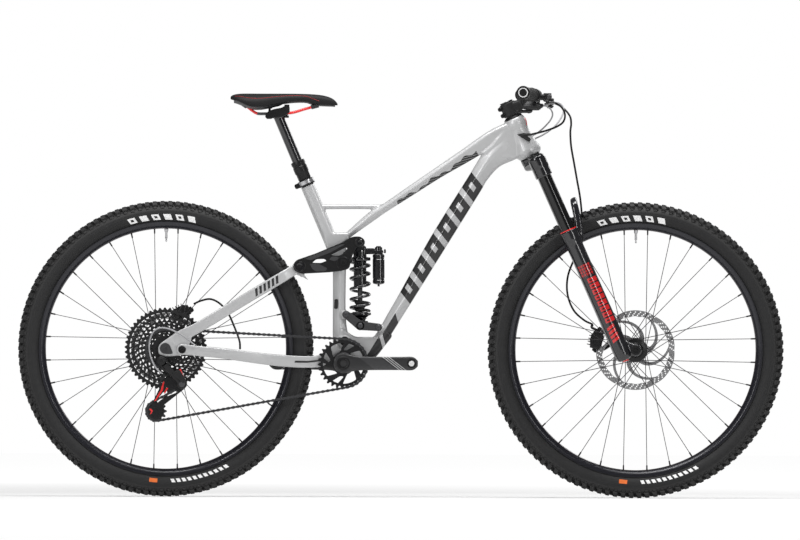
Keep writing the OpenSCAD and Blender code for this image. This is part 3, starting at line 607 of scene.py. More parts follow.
def tyre_rubber(name, centre):
    """Matt rubber; the sidewall carries rows of plain white bars and dots."""
    paint = Paint(name, 0.62, specular=0.3)
    fine = paint.noise(0.9, 3.0)
    angle, radius = polar_coordinates(paint, centre)
    tone = paint.mix(paint.noise(14.0, 4.0), (0.011, 0.011, 0.0115), (0.019, 0.019, 0.0195))
    # a lighter rubber tone on the tread than on the wall
    tone = paint.mix((radius > 346.0) * 0.5, tone, (0.032, 0.0315, 0.0315))
    lean = angle + (radius - 330.0) * 0.075
    bars = lean.within(-16.5, 14.5) * (lean + 16.5).repeat(5.2).within(0.0, 3.2)
    bars = bars * radius.within(322.5, 336.5)
    cut = (lean + 16.5).repeat(10.4).within(0.9, 2.2) * radius.within(326.5, 332.5)
    row = lean.math("ABSOLUTE").within(152.0, 178.0) * (lean.math("ABSOLUTE") - 152.0).repeat(2.4) \
        .within(0.0, 1.5) * radius.within(325.5, 334.5)
    low_row = row * (lean > 0.0)
    tone = paint.mix((bars * (cut < 0.5)).either(low_row), tone, (0.85, 0.85, 0.85))
    patch = angle.within(-176.5, -173.0) * radius.within(325.0, 335.0)
    tone = paint.mix(patch, tone, (0.75, 0.16, 0.03))
    paint.colour(tone)
    paint.rough(fine, 0.52, 0.72)
    ribs = (radius * 1.1).math("SINE") * radius.within(337.0, 345.0)
    paint.bump(fine * 0.5 + ribs * 0.6, 0.25, 0.6)
    return paint.material


def rim_paint(name, centre):
    """Dark satin rim, with a paler line close to each edge."""
    paint = Paint(name, 0.28, metal=0.3, coat=0.25, coat_rough=0.15)
    radius = polar_coordinates(paint, centre)[1]
    tone = paint.mix(paint.noise(40.0, 3.0), (0.008, 0.008, 0.012), (0.014, 0.014, 0.020))
    tone = paint.mix(radius.within(300.0, 301.2), tone, (0.05, 0.034, 0.036))
    paint.colour(tone)
    paint.rough(paint.noise(0.7, 2.0), 0.24, 0.34)
    return paint.material


# ---------- camera, light and floor ----------


def light_up_world(tree):
    """A white backdrop that lights the bike only dimly, so that its shading keeps its contrast."""
    background = tree.nodes["Background"]
    background.inputs[0].default_value = (1, 1, 1, 1)
    background.inputs[1].default_value = 0.16
    backdrop = tree.nodes.new("ShaderNodeBackground")
    backdrop.inputs[0].default_value = (1, 1, 1, 1)
    backdrop.inputs[1].default_value = 1.0
    rays = tree.nodes.new("ShaderNodeLightPath")
    mix = tree.nodes.new("ShaderNodeMixShader")
    tree.links.new(rays.outputs["Is Camera Ray"], mix.inputs[0])
    tree.links.new(background.outputs[0], mix.inputs[1])
    tree.links.new(backdrop.outputs[0], mix.inputs[2])
    tree.links.new(mix.outputs[0], tree.nodes["World Output"].inputs[0])


def floor_paper():
    """White paper that glows more further away, so that it meets the backdrop without a line."""
    paint = Paint("floor_paper", 0.9)
    tone = paint.mix(paint.noise(900.0, 2.0), (0.56, 0.56, 0.56), (0.58, 0.58, 0.58))
    paint.colour(tone)
    paint.set("Emission Color", (1, 1, 1, 1))
    away = (paint.x * paint.x + paint.y * paint.y).math("SQRT")
    glow = ((away - 1400.0) * (1 / 3200.0)).math("MAXIMUM", 0.0).math("MINIMUM", 1.0) * 0.58 + 0.30
    paint.tree.links.new(glow.value, paint.shader.inputs["Emission Strength"])
    paint.rough(paint.noise(8.0, 2.0), 0.8, 0.95)
    return paint


def make_stage():
    """The camera looks along +Y at the drive side through a long lens; soft light comes from above."""
    scene = bpy.context.scene
    distance = 60000.0
    width = 2000.0
    sensor = 36.0
    camera = bpy.data.cameras.new("camera")
    camera.sensor_width = sensor
    camera.lens = sensor * distance / width
    camera.clip_end = 100
    eye = bpy.data.objects.new("camera", camera)
    eye.location = Vector((-2.5 * MM, -distance * MM, (REAR_AXLE[2] + 198.5) * MM))
    roll = math.radians(0.19)
    eye.rotation_euler = (math.radians(90), -roll, 0)
    scene.collection.objects.link(eye)
    scene.camera = eye

    world = bpy.data.worlds.new("studio")
    world.use_nodes = True
    light_up_world(world.node_tree)
    scene.world = world
    scene.view_settings.view_transform = "Standard"

    for name, place_at, size, power in (
        ("top_light", (0.2, -0.6, 3.4), (3.4, 0.9), 130.0),
        ("key_light", (-2.4, -3.4, 2.2), (0.32, 2.4), 52.0),
        ("fill_light", (2.8, -3.6, 1.6), (0.32, 2.4), 34.0),
        ("rim_light", (2.0, 3.0, 2.4), (1.6, 1.6), 30.0),
    ):
        data = bpy.data.lights.new(name, "AREA")
        data.shape = "RECTANGLE"
        data.size, data.size_y = size
        data.energy = power
        light = bpy.data.objects.new(name, data)
        light.location = place_at
        aim = Vector((0, 0, 0.5)) - light.location
        light.rotation_euler = aim.to_track_quat("-Z", "Y").to_euler()
        scene.collection.objects.link(light)

    floor_size = 14.0
    mesh = bpy.data.meshes.new("floor")
    mesh.from_pydata([(x * floor_size, y * floor_size, 0) for x, y in ((-1, -1), (1, -1), (1, 1), (-1, 1))],
                     [], [(0, 1, 2, 3)])
    floor = bpy.data.objects.new("floor", mesh)
    scene.collection.objects.link(floor)
    paint = floor_paper()
    mesh.materials.append(paint.material)


make_stage()


# ---------- wheels ----------

TYRE_MIDDLE = 341.0
RIM_OUTER = 318.0
RIM_INNER = 300.0
SPOKES = 32
FLANGE = 29.0


def wheel_axes(axle):
    """Axes with Z out to the left and X forwards, for a solid turned round the axle."""
    return across(axle, LEFT)


def knob(angle, section, radius, size, height, lean=0.0, taper=0.72):
    """A tread block. section is its angle from the tyre's crown, and size is its length round the
    wheel and its width across the tread."""
    s = math.radians(section)
    out = np.array([math.cos(s), 0, math.sin(s)])
    across_tread = np.array([-math.sin(s), 0, math.cos(s)])
    base = np.array([TYRE_MIDDLE, 0, 0]) + out * (radius - 2.0)
    points = []
    for h, k in ((0, 1.15), (height * 0.55 + 2.0, 1.0), (height + 2.0, taper)):
        for a, b in ((-1, -1), (1, -1), (1, 1), (-1, 1)):
            p = base + out * h + across_tread * (b * size[1] / 2 * k)
            p = p + np.array([0, a * size[0] / 2 * k + lean * b, 0])
            points.append(p)
    points = np.array(points)
    t = math.radians(angle)
    turned_points = np.column_stack([
        points[:, 0] * math.cos(t) - points[:, 1] * math.sin(t),
        points[:, 0] * math.sin(t) + points[:, 1] * math.cos(t),
        points[:, 2],
    ])
    faces = [(0, 1, 5, 4), (1, 2, 6, 5), (2, 3, 7, 6), (3, 0, 4, 7),
             (4, 5, 9, 8), (5, 6, 10, 9), (6, 7, 11, 10), (7, 4, 8, 11), (8, 9, 10, 11)]
    return turned_points, faces


def tyre_casing(axle, crown):
    """The casing from bead to bead, closed through the inside."""
    half_width = 27.5
    outside = []
    for k in range(-13, 14):
        s = math.radians(k * 11.0)
        tall = crown - TYRE_MIDDLE if math.cos(s) > 0 else 27.0
        outside.append([TYRE_MIDDLE + tall * math.cos(s), half_width * math.sin(s)])
    bead = [[RIM_OUTER + 0.2, 17.9], [RIM_OUTER - 1.5, 15.5]]
    outside = [[r, -y] for r, y in bead[::-1]] + outside + bead
    inside = [[r - 2.6 if r > TYRE_MIDDLE else r + 0.2, y * 0.88] for r, y in outside[::-1]]
    return turned(outside + inside, wheel_axes(axle), 180, closed=True)


def tread(axle, count, rows):
    """Rows of blocks on both sides of the crown; each row is [angle from the crown, distance from the
    casing's middle, length, width, height, lean, phase, taper]."""
    parts = []
    for section, radius, length, width, height, lean, phase, taper in rows:
        for k in range(count):
            for side in (-1, 1):
                parts.append(knob(360 * (k + phase) / count, side * section, radius, (length, width),
                                  height, side * lean, taper))
    points, faces = merged(*parts)
    return wheel_axes(axle)(points), faces


def make_tyre(name, axle, body, count, rows):
    part = merged(tyre_casing(axle, 362.6), tread(axle, count, rows))
    piece(name, part, body, tyre_rubber(name + "_rubber", axle), [name], sharp=38)


def make_rim(name, axle, body):
    """A hollow section rim with hooked walls."""
    half = [[RIM_INNER, 0], [RIM_INNER + 0.2, 4.5], [RIM_INNER + 1.6, 8.0], [306, 13.0], [310.5, 16.4],
            [313, 17.3], [RIM_OUTER - 0.6, 17.4], [RIM_OUTER, 16.6], [RIM_OUTER, 14.6], [316, 13.8],
            [312.5, 14.2], [309.5, 12.5], [309, 0]]
    profile = half + [[r, -y] for r, y in half[-2:0:-1]]
    rim = turned(profile, wheel_axes(axle), 180, closed=True)
    piece(name, rim, body, rim_paint(name + "_paint", axle), [name], sharp=50)


def spoke_ends(axle, y_left, y_right):
    """Where each spoke starts at its flange and ends at the rim."""
    ends = []
    pair = 360 / SPOKES
    for i in range(SPOKES):
        y = y_left if i % 2 == 0 else y_right
        cross = 62 if (i // 2) % 2 == 0 else -62
        a = math.radians(90 + pair * (i + 0.5))
        b = a + math.radians(cross)
        hub = axle + np.array([(FLANGE - 2) * math.cos(b), y, (FLANGE - 2) * math.sin(b)])
        rim = axle + np.array([RIM_INNER * math.cos(a), math.copysign(2, y), RIM_INNER * math.sin(a)])
        ends.append((hub, rim, np.sign(y) * (1 if cross > 0 else -1)))
    return ends


def make_spokes(name, axle, body, y_left, y_right):
    """Bent spokes with their heads in the flanges, and a nipple on each."""
    wires, nipples = [], []
    for hub, rim, outside in spoke_ends(axle, y_left, y_right):
        along = unit(rim - hub)
        head = hub + np.array([0, outside * 2.2, 0])
        wires.append(tube([head + Y * outside * 0.8, head, hub + along * 1.6 + Y * outside * 1.3,
                           hub + along * 7, rim - along * 1], [1.7, 1.05, 1.0, 0.95, 0.85], 8))
        nipples.append(tube([rim - along * 11, rim - along * 10.4, rim - along * 3, rim + along * 3],
                            [1.4, 1.9, 1.95, 2.3], 8))
    piece(name, merged(*wires), body, MAT["spoke"], [name])
    piece(name.replace("spokes", "nipples"), merged(*nipples), body, MAT["black"])


def make_valve(name, axle, body):
    up = Axes(axle, Y, Z)
    stem = turned([[0, 267], [1.6, 267.3], [2.2, 269], [2.2, 272], [1.5, 272.6], [1.5, 275], [3.1, 275.6],
                   [3.1, 290], [3.4, 290.5], [5.0, 294.5], [5.0, 299.5], [3, 301], [0, 301]], up, 20)
    piece(name, stem, body, MAT["steel"])


def make_hub(name, axle, body, outline, flanges):
    shell = turned(outline, wheel_axes(axle), 48)
    pockets = []
    for y in flanges:
        for k in range(SPOKES // 2):
            a = math.radians(k * 720 / SPOKES)
            centre = axle + np.array([(FLANGE - 2) * math.cos(a), y, (FLANGE - 2) * math.sin(a)])
            pockets.append(disc(centre, y - 2.0, y + 2.0, 2.7, 0.6, 12))
    part = merged(shell, *pockets)
    piece(name, part, body, MAT["black"], [name], sharp=28)


def rotor_window(i, arms, inner, outer, sweep, half):
    """The gap between two swept arms of a rotor."""
    ring = []
    steps = 12
    a0 = 360 * i / arms
    a1 = 360 * (i + 1) / arms
    spiral = [(inner + (outer - inner) * t, sweep * t ** 1.25) for t in np.linspace(0, 1, steps)]
    for r, turn in spiral:
        ring.append(polar(r, a0 + turn + math.degrees((half + 1.4 * abs(r - 55) / 40) / r)))
    for t in np.linspace(0, 1, 10)[1:-1]:
        wave = 1.8 * math.sin(math.pi * t * 3) ** 2
        low = a0 + sweep + math.degrees(half / outer)
        high = a1 + sweep - math.degrees(half / outer)
        ring.append(polar(outer + wave, low + (high - low) * t))
    for r, turn in spiral[::-1]:
        ring.append(polar(r, a1 + turn - math.degrees((half + 1.4 * abs(r - 55) / 40) / r)))
    for t in np.linspace(1, 0, 6)[1:-1]:
        low = a0 + math.degrees(half / inner)
        high = a1 - math.degrees(half / inner)
        ring.append(polar(inner - 1.5 * math.sin(math.pi * t), low + (high - low) * t))
    return np.array(ring)


def make_rotor(name, axle, body, y, r):
    """A rotor with a waved edge, drilled brake track and swept arms."""
    arms = 6
    outline = []
    for k in range(240):
        a = 360 * k / 240
        lobe = abs(math.sin(math.radians(a * arms / 2)))
        outline.append(polar(r - 0.4 - 2.2 * (1 - lobe) ** 2, a))
    holes = [rotor_window(i, arms, 32.0, r - 16.5, 62.0, 6.2) for i in range(arms)]
    rows = ((r - 4.6, 0.0), (r - 8.8, 2.1), (r - 12.8, 4.2))
    count = 48
    for k in range(count):
        for radius, shift in rows:
            if k % 8 != 7:
                holes.append(circle(polar(radius, 360 * k / count + shift), 1.75, 10))
    middle = (axle[0], axle[2])
    disc_part = plate(np.array(outline) + middle, [np.array(h) + middle for h in holes],
                      y - 0.9, y + 0.9, 0.2)
    piece(name, disc_part, body, MAT["rotor"], [name], sharp=30)
    carrier = turned([[16.9, 0.9], [30, 0.9], [31, 1.6], [31, 2.4], [26, 3.6], [20, 4.0], [18, 5.6],
                      [16.9, 5.6]], Axes(axle + Y * y, X, Y), 48, closed=True)
    bolts = [screw(axle + np.array([24 * math.cos(a), 0, 24 * math.sin(a)]), y + 2.4, LEFT, 3.4, 2.0)
             for a in np.radians(np.arange(6) * 60.0)]
    piece(name.replace("rotor", "rotor_carrier"), merged(carrier, *bolts), body, MAT["black"])


REAR_ROWS = ([7.5, 22.6, 10.0, 5.6, 5.8, 0.6, 0.0, 0.8], [23.0, 23.3, 8.5, 6.0, 5.2, 1.0, 0.5, 0.8],
             [43.0, 25.0, 13.0, 10.0, 6.2, 1.0, 0.0, 0.86], [62.0, 25.8, 9.0, 6.0, 2.2, 0.0, 0.0, 0.8])
FRONT_ROWS = ([9.0, 22.6, 10.5, 7.4, 6.4, 1.2, 0.0, 0.78], [27.0, 23.4, 8.0, 6.4, 5.4, 1.2, 0.5, 0.78],
              [45.0, 25.2, 12.0, 11.0, 6.8, 1.2, 0.0, 0.84], [63.0, 25.8, 8.0, 6.0, 2.2, 0.0, 0.0, 0.8])

make_tyre("rear_tyre", REAR_AXLE, "rear_wheel", 118, REAR_ROWS)
make_tyre("front_tyre", FRONT_AXLE, "front_wheel", 114, FRONT_ROWS)
make_rim("rear_rim", REAR_AXLE, "rear_wheel")
make_rim("front_rim", FRONT_AXLE, "front_wheel")
make_spokes("rear_spokes", REAR_AXLE, "rear_wheel", 31, -19)
make_spokes("front_spokes", FRONT_AXLE, "front_wheel", 23, -29)
make_valve("rear_valve", REAR_AXLE, "rear_wheel")
make_valve("front_valve", FRONT_AXLE, "front_wheel")
make_hub("rear_hub", REAR_AXLE, "rear_wheel",
         [[6.1, -24.4], [22, -24.4], [22, -21.4], [FLANGE, -20.8], [FLANGE, -17.2], [24, -16], [17, -11],
          [15.5, 0], [16.5, 22], [24, 28.4], [FLANGE, 29.4], [FLANGE, 32.6], [21, 35.5], [22, 50],
          [27, 54.5], [27, 57.6], [17, 57.8], [17, 63], [11, 66.5], [10, 73.8], [6.1, 73.8]], (-19, 31))
make_hub("front_hub", FRONT_AXLE, "front_wheel",
         [[7.6, -54.8], [10, -54.8], [10.5, -45], [16, -42.5], [19.5, -34], [FLANGE, -30.6],
          [FLANGE, -27.4], [22, -25], [15, -19], [13.5, -2], [15, 15], [23, 20.4], [FLANGE, 21.4],
          [FLANGE, 24.6], [21, 28], [23, 38], [27, 36.6], [27, 39.3], [17, 39.5], [17, 45], [11, 47.5],
          [10, 54.8], [7.6, 54.8]], (23, -29))
make_rotor("rear_brake_rotor", REAR_AXLE, "rear_wheel", 58.7, 90.0)
make_rotor("front_brake_rotor", FRONT_AXLE, "front_wheel", 40.5, 100.0)


# ---------- frame ----------


def ridged(top=0.6, bottom=0.6, ridge=0.1, corner=0.22):
    """Half size outline of a tube with a ridge along each side."""
    corners = [(top, 1), (1, ridge), (bottom, -1), (-bottom, -1), (-1, ridge), (-top, 1)]
    return rounded(corners, corner, 3)


def beam(stations, top=0.6, bottom=0.6, steps=6):
    """A tube from stations of [upper x, upper z, lower x, lower z, half width, ridge height]."""
    rings = []
    for ux, uz, lx, lz, half, ridge in curve_through(stations, steps):
        shape = ridged(top, bottom, ridge, 0.22)
        upper, lower = at(ux, uz), at(lx, lz)
        rings.append((upper + lower) / 2 + np.outer(shape[:, 0] * half, Y)
                     + np.outer(shape[:, 1], (upper - lower) / 2))
    return loft(rings)


def stay(rows, top=0.75, bottom=0.75, ridge=0.2):
    """A tube beside the wheel, from [x, z, y, half height, half width] along its middle."""
    rows = curve_through(rows, 6)
    path = rows[:, [0, 2, 1]]
    shape = ridged(top, bottom, ridge, 0.25)
    rings = []
    for i, row in enumerate(rows):
        d = unit((path[min(i + 1, len(path) - 1)] - path[max(i - 1, 0)]) * [1, 0, 1])
        up = np.cross(d, Y) if np.cross(d, Y)[2] > 0 else -np.cross(d, Y)
        rings.append(path[i] + np.outer(shape[:, 0] * row[4], Y) + np.outer(shape[:, 1] * row[3], up))
    return loft(rings)


def slab(corners, half, edge, round_by=6.0):
    return plate(rounded(corners, round_by), [], -half, half, edge)


def tube_between(a, b, r, count=40):
    return tube([a, b], r, count)


def down_tube():
    return beam([
        [262, 936, 302, 856, 19, 0.3],
        [236, 905, 283, 845, 23, 0.2],
        [210, 872, 245, 827, 26, 0.1],
        [184, 830, 215, 794, 27, 0.1],
        [163, 795, 196, 762, 27, 0.1],
        [75, 653, 114, 629, 27, 0.05],
        [-2, 513, 31, 495, 27, 0.0],
        [-34, 457, 1, 447, 26, 0.0],
        [-58, 414, -24, 407, 25, 0.0],
        [-84, 386, -46, 374, 24, 0.0],
        [-112, 366, -68, 353, 24, 0.0],
    ], 0.55, 0.5)


def top_tube():
    return beam([
        [296, 951, 300, 900, 21, 0.75],
        [258, 936, 268, 889, 21, 0.72],
        [214, 914, 236, 880, 21, 0.6],
        [150, 869, 172, 842, 20.5, 0.45],
        [83, 822.7, 99, 800, 20, 0.25],
        [18, 777.5, 31.5, 757, 19.5, 0.15],
        [-48, 731.5, -36, 714, 18.5, 0.1],
        [-81, 712, -67, 692, 18, 0.1],
        [-135, 664, -122, 653, 17.5, 0.1],
        [-160, 643, -150, 630, 17, 0.1],
    ], 0.7, 0.6)


def seat_tube():
    rings = []
    for z in (-1, -30, -70, -110, -150, -185):
        shape = rounded([(15.5, 9), (17.6, -3), (12, -17.2), (-9, -17.4), (-17.4, -6), (-17.6, 5),
                         (-10, 17.2), (9, 17.6)], 8, 4)
        rings.append(SEAT(np.column_stack([shape, np.full(len(shape), z)])))
    return loft(rings)


def column():
    """The upright behind the shock, down to the crank shell."""
    return beam([
        [-171, 625, -137, 625, 17, 0.1],
        [-171, 590, -137, 586, 20, 0.1],
        [-170, 540, -138, 540, 20, 0.1],
        [-170, 460, -138, 460, 20, 0.1],
        [-170, 400, -132, 410, 21, 0.1],
        [-168, 350, -112, 360, 23, 0.1],
        [-158, 322, -112, 326, 25, 0.1],
    ], 0.55, 0.6, steps=4)


def head_tube():
    profile = [[0, 0.4], [25.6, 0.4], [26.6, 1.5], [30.5, 6], [33.3, 12], [33.6, 19], [31.5, 28], [28, 42],
               [26.4, 55], [25, 66], [25.4, 76], [28.2, 86], [28.8, 93], [27, 100], [24.8, 104.6],
               [23.5, 105.4], [0, 105.4]]
    return turned(profile, HEAD, 64)


def frame_marks():
    """Plain blocks in place of lettering: bars on the down tube, stripes under the top tube."""
    start, end = at(-4, 439), at(198, 765)
    direction = unit(end - start)
    normal = np.array([direction[2], 0, -direction[0]])

    def bars(paint):
        s = paint.along(start, direction)
        t = paint.along(start, normal)
        shifted = s + t * 0.35
        row = shifted.within(52, 402) * (shifted - 52.0).repeat(60.0).within(0.0, 45.0)
        notch = (t > -33) * (t < -14) * (shifted - 52.0).repeat(60.0).within(16.0, 29.0)
        return row * (notch < 0.5) * (t > -45.5)

    def protector(paint):
        s = paint.along(start, direction)
        t = paint.along(start, normal)
        upper = (t > -20.0) * (s + t * 0.9).within(-66.0, -4.0)
        lower = (t > -24.0) * (s + t * 0.9).within(-150.0, -78.0) * (paint.x > -86.0)
        return upper.either(lower)

    def underline(paint):
        s = paint.along(at(-9.5, 732), at(207.5, 130.6))
        t = paint.along(at(-9.5, 732), at(-130.6, 207.5))
        height = (s * 0.19).math("SINE") * 2.4 + (s * 0.071).math("SINE") * 3.0 + s * 0.02 + 5.0
        fade = s.within(2, 238) * (t < height) * (t > -8)
        return fade * (t.math("MULTIPLY", 1.9) + s * 0.6).repeat(11.0).within(0.0, 9.8)

    def tick(paint):
        up = paint.along(HEAD.origin, HEAD.z)
        ahead = paint.along(HEAD.origin, HEAD.x)
        return up.within(76.0, 96.0) * (ahead > 20.0) * paint.y.math("ABSOLUTE").within(2.0, 12.0)

    return [(bars, (0.012, 0.012, 0.0125)), (protector, (0.014, 0.014, 0.015)),
            (underline, (0.009, 0.009, 0.0095)), (tick, RED)]


def make_front_triangle():
    gusset = slab([(197, 860), (226, 885), (262, 934), (292, 947), (316, 880), (286, 846), (236, 850)], 20, 6)
    strut = beam([
        [-216, 731, -216, 719, 14, 0.2], [-196, 731.5, -198, 719.5, 12, 0.2],
        [-120, 731.5, -120, 720.5, 10, 0.2], [-56, 731.8, -60, 719.5, 11, 0.2], [-34, 736, -36, 716, 14, 0.2],
    ], 0.7, 0.7)
    knee = slab([(-196, 662), (-136, 662), (-128, 646), (-140, 636), (-138, 590), (-172, 590), (-188, 625)],
                17, 5, 5)
    basin = slab([(-150, 425), (-132, 412), (-114, 401), (-58, 401), (-40, 424), (-20, 404), (-60, 352),
                  (-108, 326), (-150, 330)], 22, 6, 7)
    shell = tube([BB + Y * y for y in (-36.4, -35.6, 35.6, 36.4)], [24, 25.6, 25.6, 24], 48)
    bosses = [tube_between(at(*side_view(p), -26.8), at(*side_view(p), 26.8), 9.5)
              for p in (SHOCK_BASE + at(-35.5, 28), SHOCK_BASE + at(45.5, -4))]
    carriers = both_sides(tube_between(ROCKER_FRAME + Y * 8, ROCKER_FRAME + Y * 36.6, 13.5))
    pivots = both_sides(tube([MAIN_PIVOT + Y * 10, MAIN_PIVOT + Y * 20, MAIN_PIVOT + Y * 21.2], [17, 17, 16]))
    parts = merged(down_tube(), top_tube(), seat_tube(), column(), head_tube(), gusset, strut, knee, basin,
                   shell, *bosses, carriers, pivots)
    fused("front_triangle_skin", parts, "root", frame_paint("frame_lacquer", frame_marks()),
          ["front_triangle"], voxel=1.7, smooth=5)


def make_bottle_bosses():
    out = np.array([-0.86, 0, 0.51])
    parts = []
    for name in ("lower_bottle_boss", "upper_bottle_boss"):
        mount = next(m for m in frame["record"]["mounts"] if m["name"] == name)
        top = np.array(mount["pos_m"]) / MM - out * 3.6
        axes = Axes(top, Y, out)
        parts.append(turned([[2.5, -1], [5.4, -1], [5.4, 1.2], [4.9, 1.8], [2.9, 1.8], [2.5, 1.4]], axes, 24,
                            closed=True))
        parts.append(turned([[0, -0.6], [2.4, -0.6], [2.4, 2.6], [4.1, 2.6], [4.1, 4.4], [3.4, 5.2],
                             [2.0, 5.2], [1.9, 3.8], [0, 3.8]], axes, 24))
    piece("bottle_boss_screws", merged(*parts), "root", MAT["black"])


def make_headset():
    lower = turned([[26.2, -1.2], [26.6, 0.2], [24, 0.6], [18, 0.4], [18, -0.6], [24, -1.2]], HEAD, 56,
                   closed=True)
    cover = turned([[24.2, 105.5], [24.4, 106.6], [22.5, 108.6], [19.5, 111.2], [17.2, 112.8], [14.6, 112.8],
                    [14.6, 105.5]], HEAD, 56, closed=True)
    piece("headset_rings", merged(lower, cover), "root", MAT["black"], ["headset"])


def make_pivot_caps():
    parts = []
    for centre, y, r in ((ROCKER_FRAME, 45.2, 15.6), (MAIN_PIVOT, 34.6, 12.0)):
        for side in (RIGHT, LEFT):
            parts.append(cap(centre, y * side, side, r))
    axles = [tube_between(ROCKER_FRAME - Y * 45, ROCKER_FRAME + Y * 45, 7.3),
             tube_between(MAIN_PIVOT - Y * 34, MAIN_PIVOT + Y * 34, 7.3)]
    piece("pivot_caps", merged(*parts, *axles), "root", MAT["black"], ["frame_pivot_axles"])


def cap(centre, y, side, r, height=3.4):
    """A dished bolt cap with a ring groove and a hexagon socket."""
    axes = across((centre[0], y, centre[2]), side)
    body = turned([[0, 0], [r - 1, 0], [r, 0.9], [r, height * 0.6], [r - 1.1, height], [r * 0.80, height],
                   [r * 0.76, height - 1.0], [r * 0.66, height - 1.0], [r * 0.62, height],
                   [r * 0.36, height - 0.2], [r * 0.32, height - 2.0], [0, height - 2.0]], axes, 48)
    return body


def make_bottom_bracket():
    parts = []
    for side in (RIGHT, LEFT):
        axes = across(BB, side)
        parts.append(turned([[12.1, 30], [21.5, 30], [21.5, 36.6], [23.2, 37], [23.2, 44.4], [22, 45.6],
                             [17.5, 46.6], [12.1, 46.8]], axes, 60, closed=True))
    piece("bottom_bracket_cups", merged(*parts), "root", MAT["black"], ["bottom_bracket"])


def make_shock_bracket():
    rear, front = SHOCK_BASE + at(-35.5, 28), SHOCK_BASE + at(45.5, -4)
    arms = []
    for a, b, ra, rb in ((rear, SHOCK_BASE, 9.4, 11.5), (SHOCK_BASE, front, 11.0, 9.4)):
        waist = around([side_view(a), side_view(b)], (ra, rb))
        arms.append(waist)
    plates, bolts = [], []
    for side in (RIGHT, LEFT):
        low, high = sorted((27.2 * side, 33.0 * side))
        for outline in arms:
            plates.append(plate(outline, [], low, high, 1.2))
        for p in (rear, SHOCK_BASE, front):
            bolts.append(cap(p, 33.0 * side, side, 7.0, 2.6))
    piece("shock_bracket_plates", merged(*plates), "root", MAT["dark_panel"], ["shock_bracket"])
    for p in (rear, SHOCK_BASE, front):
        bolts.append(tube_between(p - Y * 33, p + Y * 33, 4))
    for side in (RIGHT, LEFT):
        bolts.append(turned([[4, 12.8], [9, 12.8], [9, 16], [7.5, 27], [4, 27]], across(SHOCK_BASE, side), 32,
                            closed=True))
    piece("shock_bracket_screws", merged(*bolts), "root", MAT["grey"], ["shock_bracket_bolts"])


def make_seat_clamp():
    ring = turned([[16.2, 0.4], [19.8, 0.4], [20.4, 1.2], [20.4, 5], [19.4, 6], [19.4, 9.5], [20.4, 10.5],
                   [20.4, 14.2], [19.8, 15], [16.2, 15]], SEAT, 56, closed=True)
    ear = block((-24.5, 0, 7.5), (13, 14.4, 12.5), 2.6, SEAT)
    bolt = tube_between(SEAT(np.array([-26.5, -8.6, 7.5])), SEAT(np.array([-26.5, 8.6, 7.5])), 3.4, 24)
    piece("seat_clamp_ring", merged(ring, ear, bolt), "root", MAT["black"], ["seat_clamp"])
    insert = turned([[17.6, 13.4], [20.9, 13.4], [20.9, 4], [17.6, 4]], SEAT, 56, closed=True)
    piece("seat_clamp_band", insert, "root", MAT["steel"])


def make_dropper_tube():
    outer = turned([[0, -170], [15.6, -170], [15.6, 17], [16.2, 18], [16.2, 33], [17.4, 35], [17.8, 37],
                    [17.8, 50], [16.6, 51.5], [16.6, 55], [17.8, 56.5], [17.8, 63], [16.8, 65.6],
                    [13.1, 65.8], [13.1, 40]], SEAT, 56)
    piece("dropper_collar", outer, "root", MAT["black"], ["dropper_outer_tube"])


def make_cable_ports():
    parts = []
    for side in (RIGHT, LEFT):
        base = rounded([(288, 908), (307, 912.5), (324, 896), (319, 889.5)], 2.5)
        parts.append(plate(base, [], *sorted((24.0 * side, 30.8 * side)), 1.4))
        gland = [(326, 33.4, 908.4), (319, 32.4, 908.0), (309, 30.0, 907.6), (300, 27.0, 907.4)]
        parts.append(tube([(x, y * side, z) for x, y, z in gland], [2.7, 3.2, 3.6, 3.6], 18))
    slot_outline = rounded([(-167, 471), (-158, 471), (-157, 495), (-166, 495)], 3)
    parts.append(plate(slot_outline, [], -22.2, -18.5, 0.8))
    piece("cable_port_inserts", merged(*parts), "root", MAT["rubber"], ["cable_ports"])


make_front_triangle()
make_bottle_bosses()
make_headset()
make_pivot_caps()
make_bottom_bracket()
make_shock_bracket()
make_seat_clamp()
make_dropper_tube()
make_cable_ports()


# ---------- rear suspension ----------


def stay_marks():
    """A plain dark stripe pattern in the place of lettering on the seatstay."""
    start, end = at(-497, 429), at(-260, 573)

    def stripes(paint):
        s = paint.along(start, end - start)
        t = paint.along(start, at(-144, 237))
        lean = s - t * 0.5
        return lean.within(153, 225) * lean.repeat(12.0).within(0.0, 7.0) * t.within(-8.5, 9.0)

    return [(stripes, (0.02, 0.02, 0.021))]


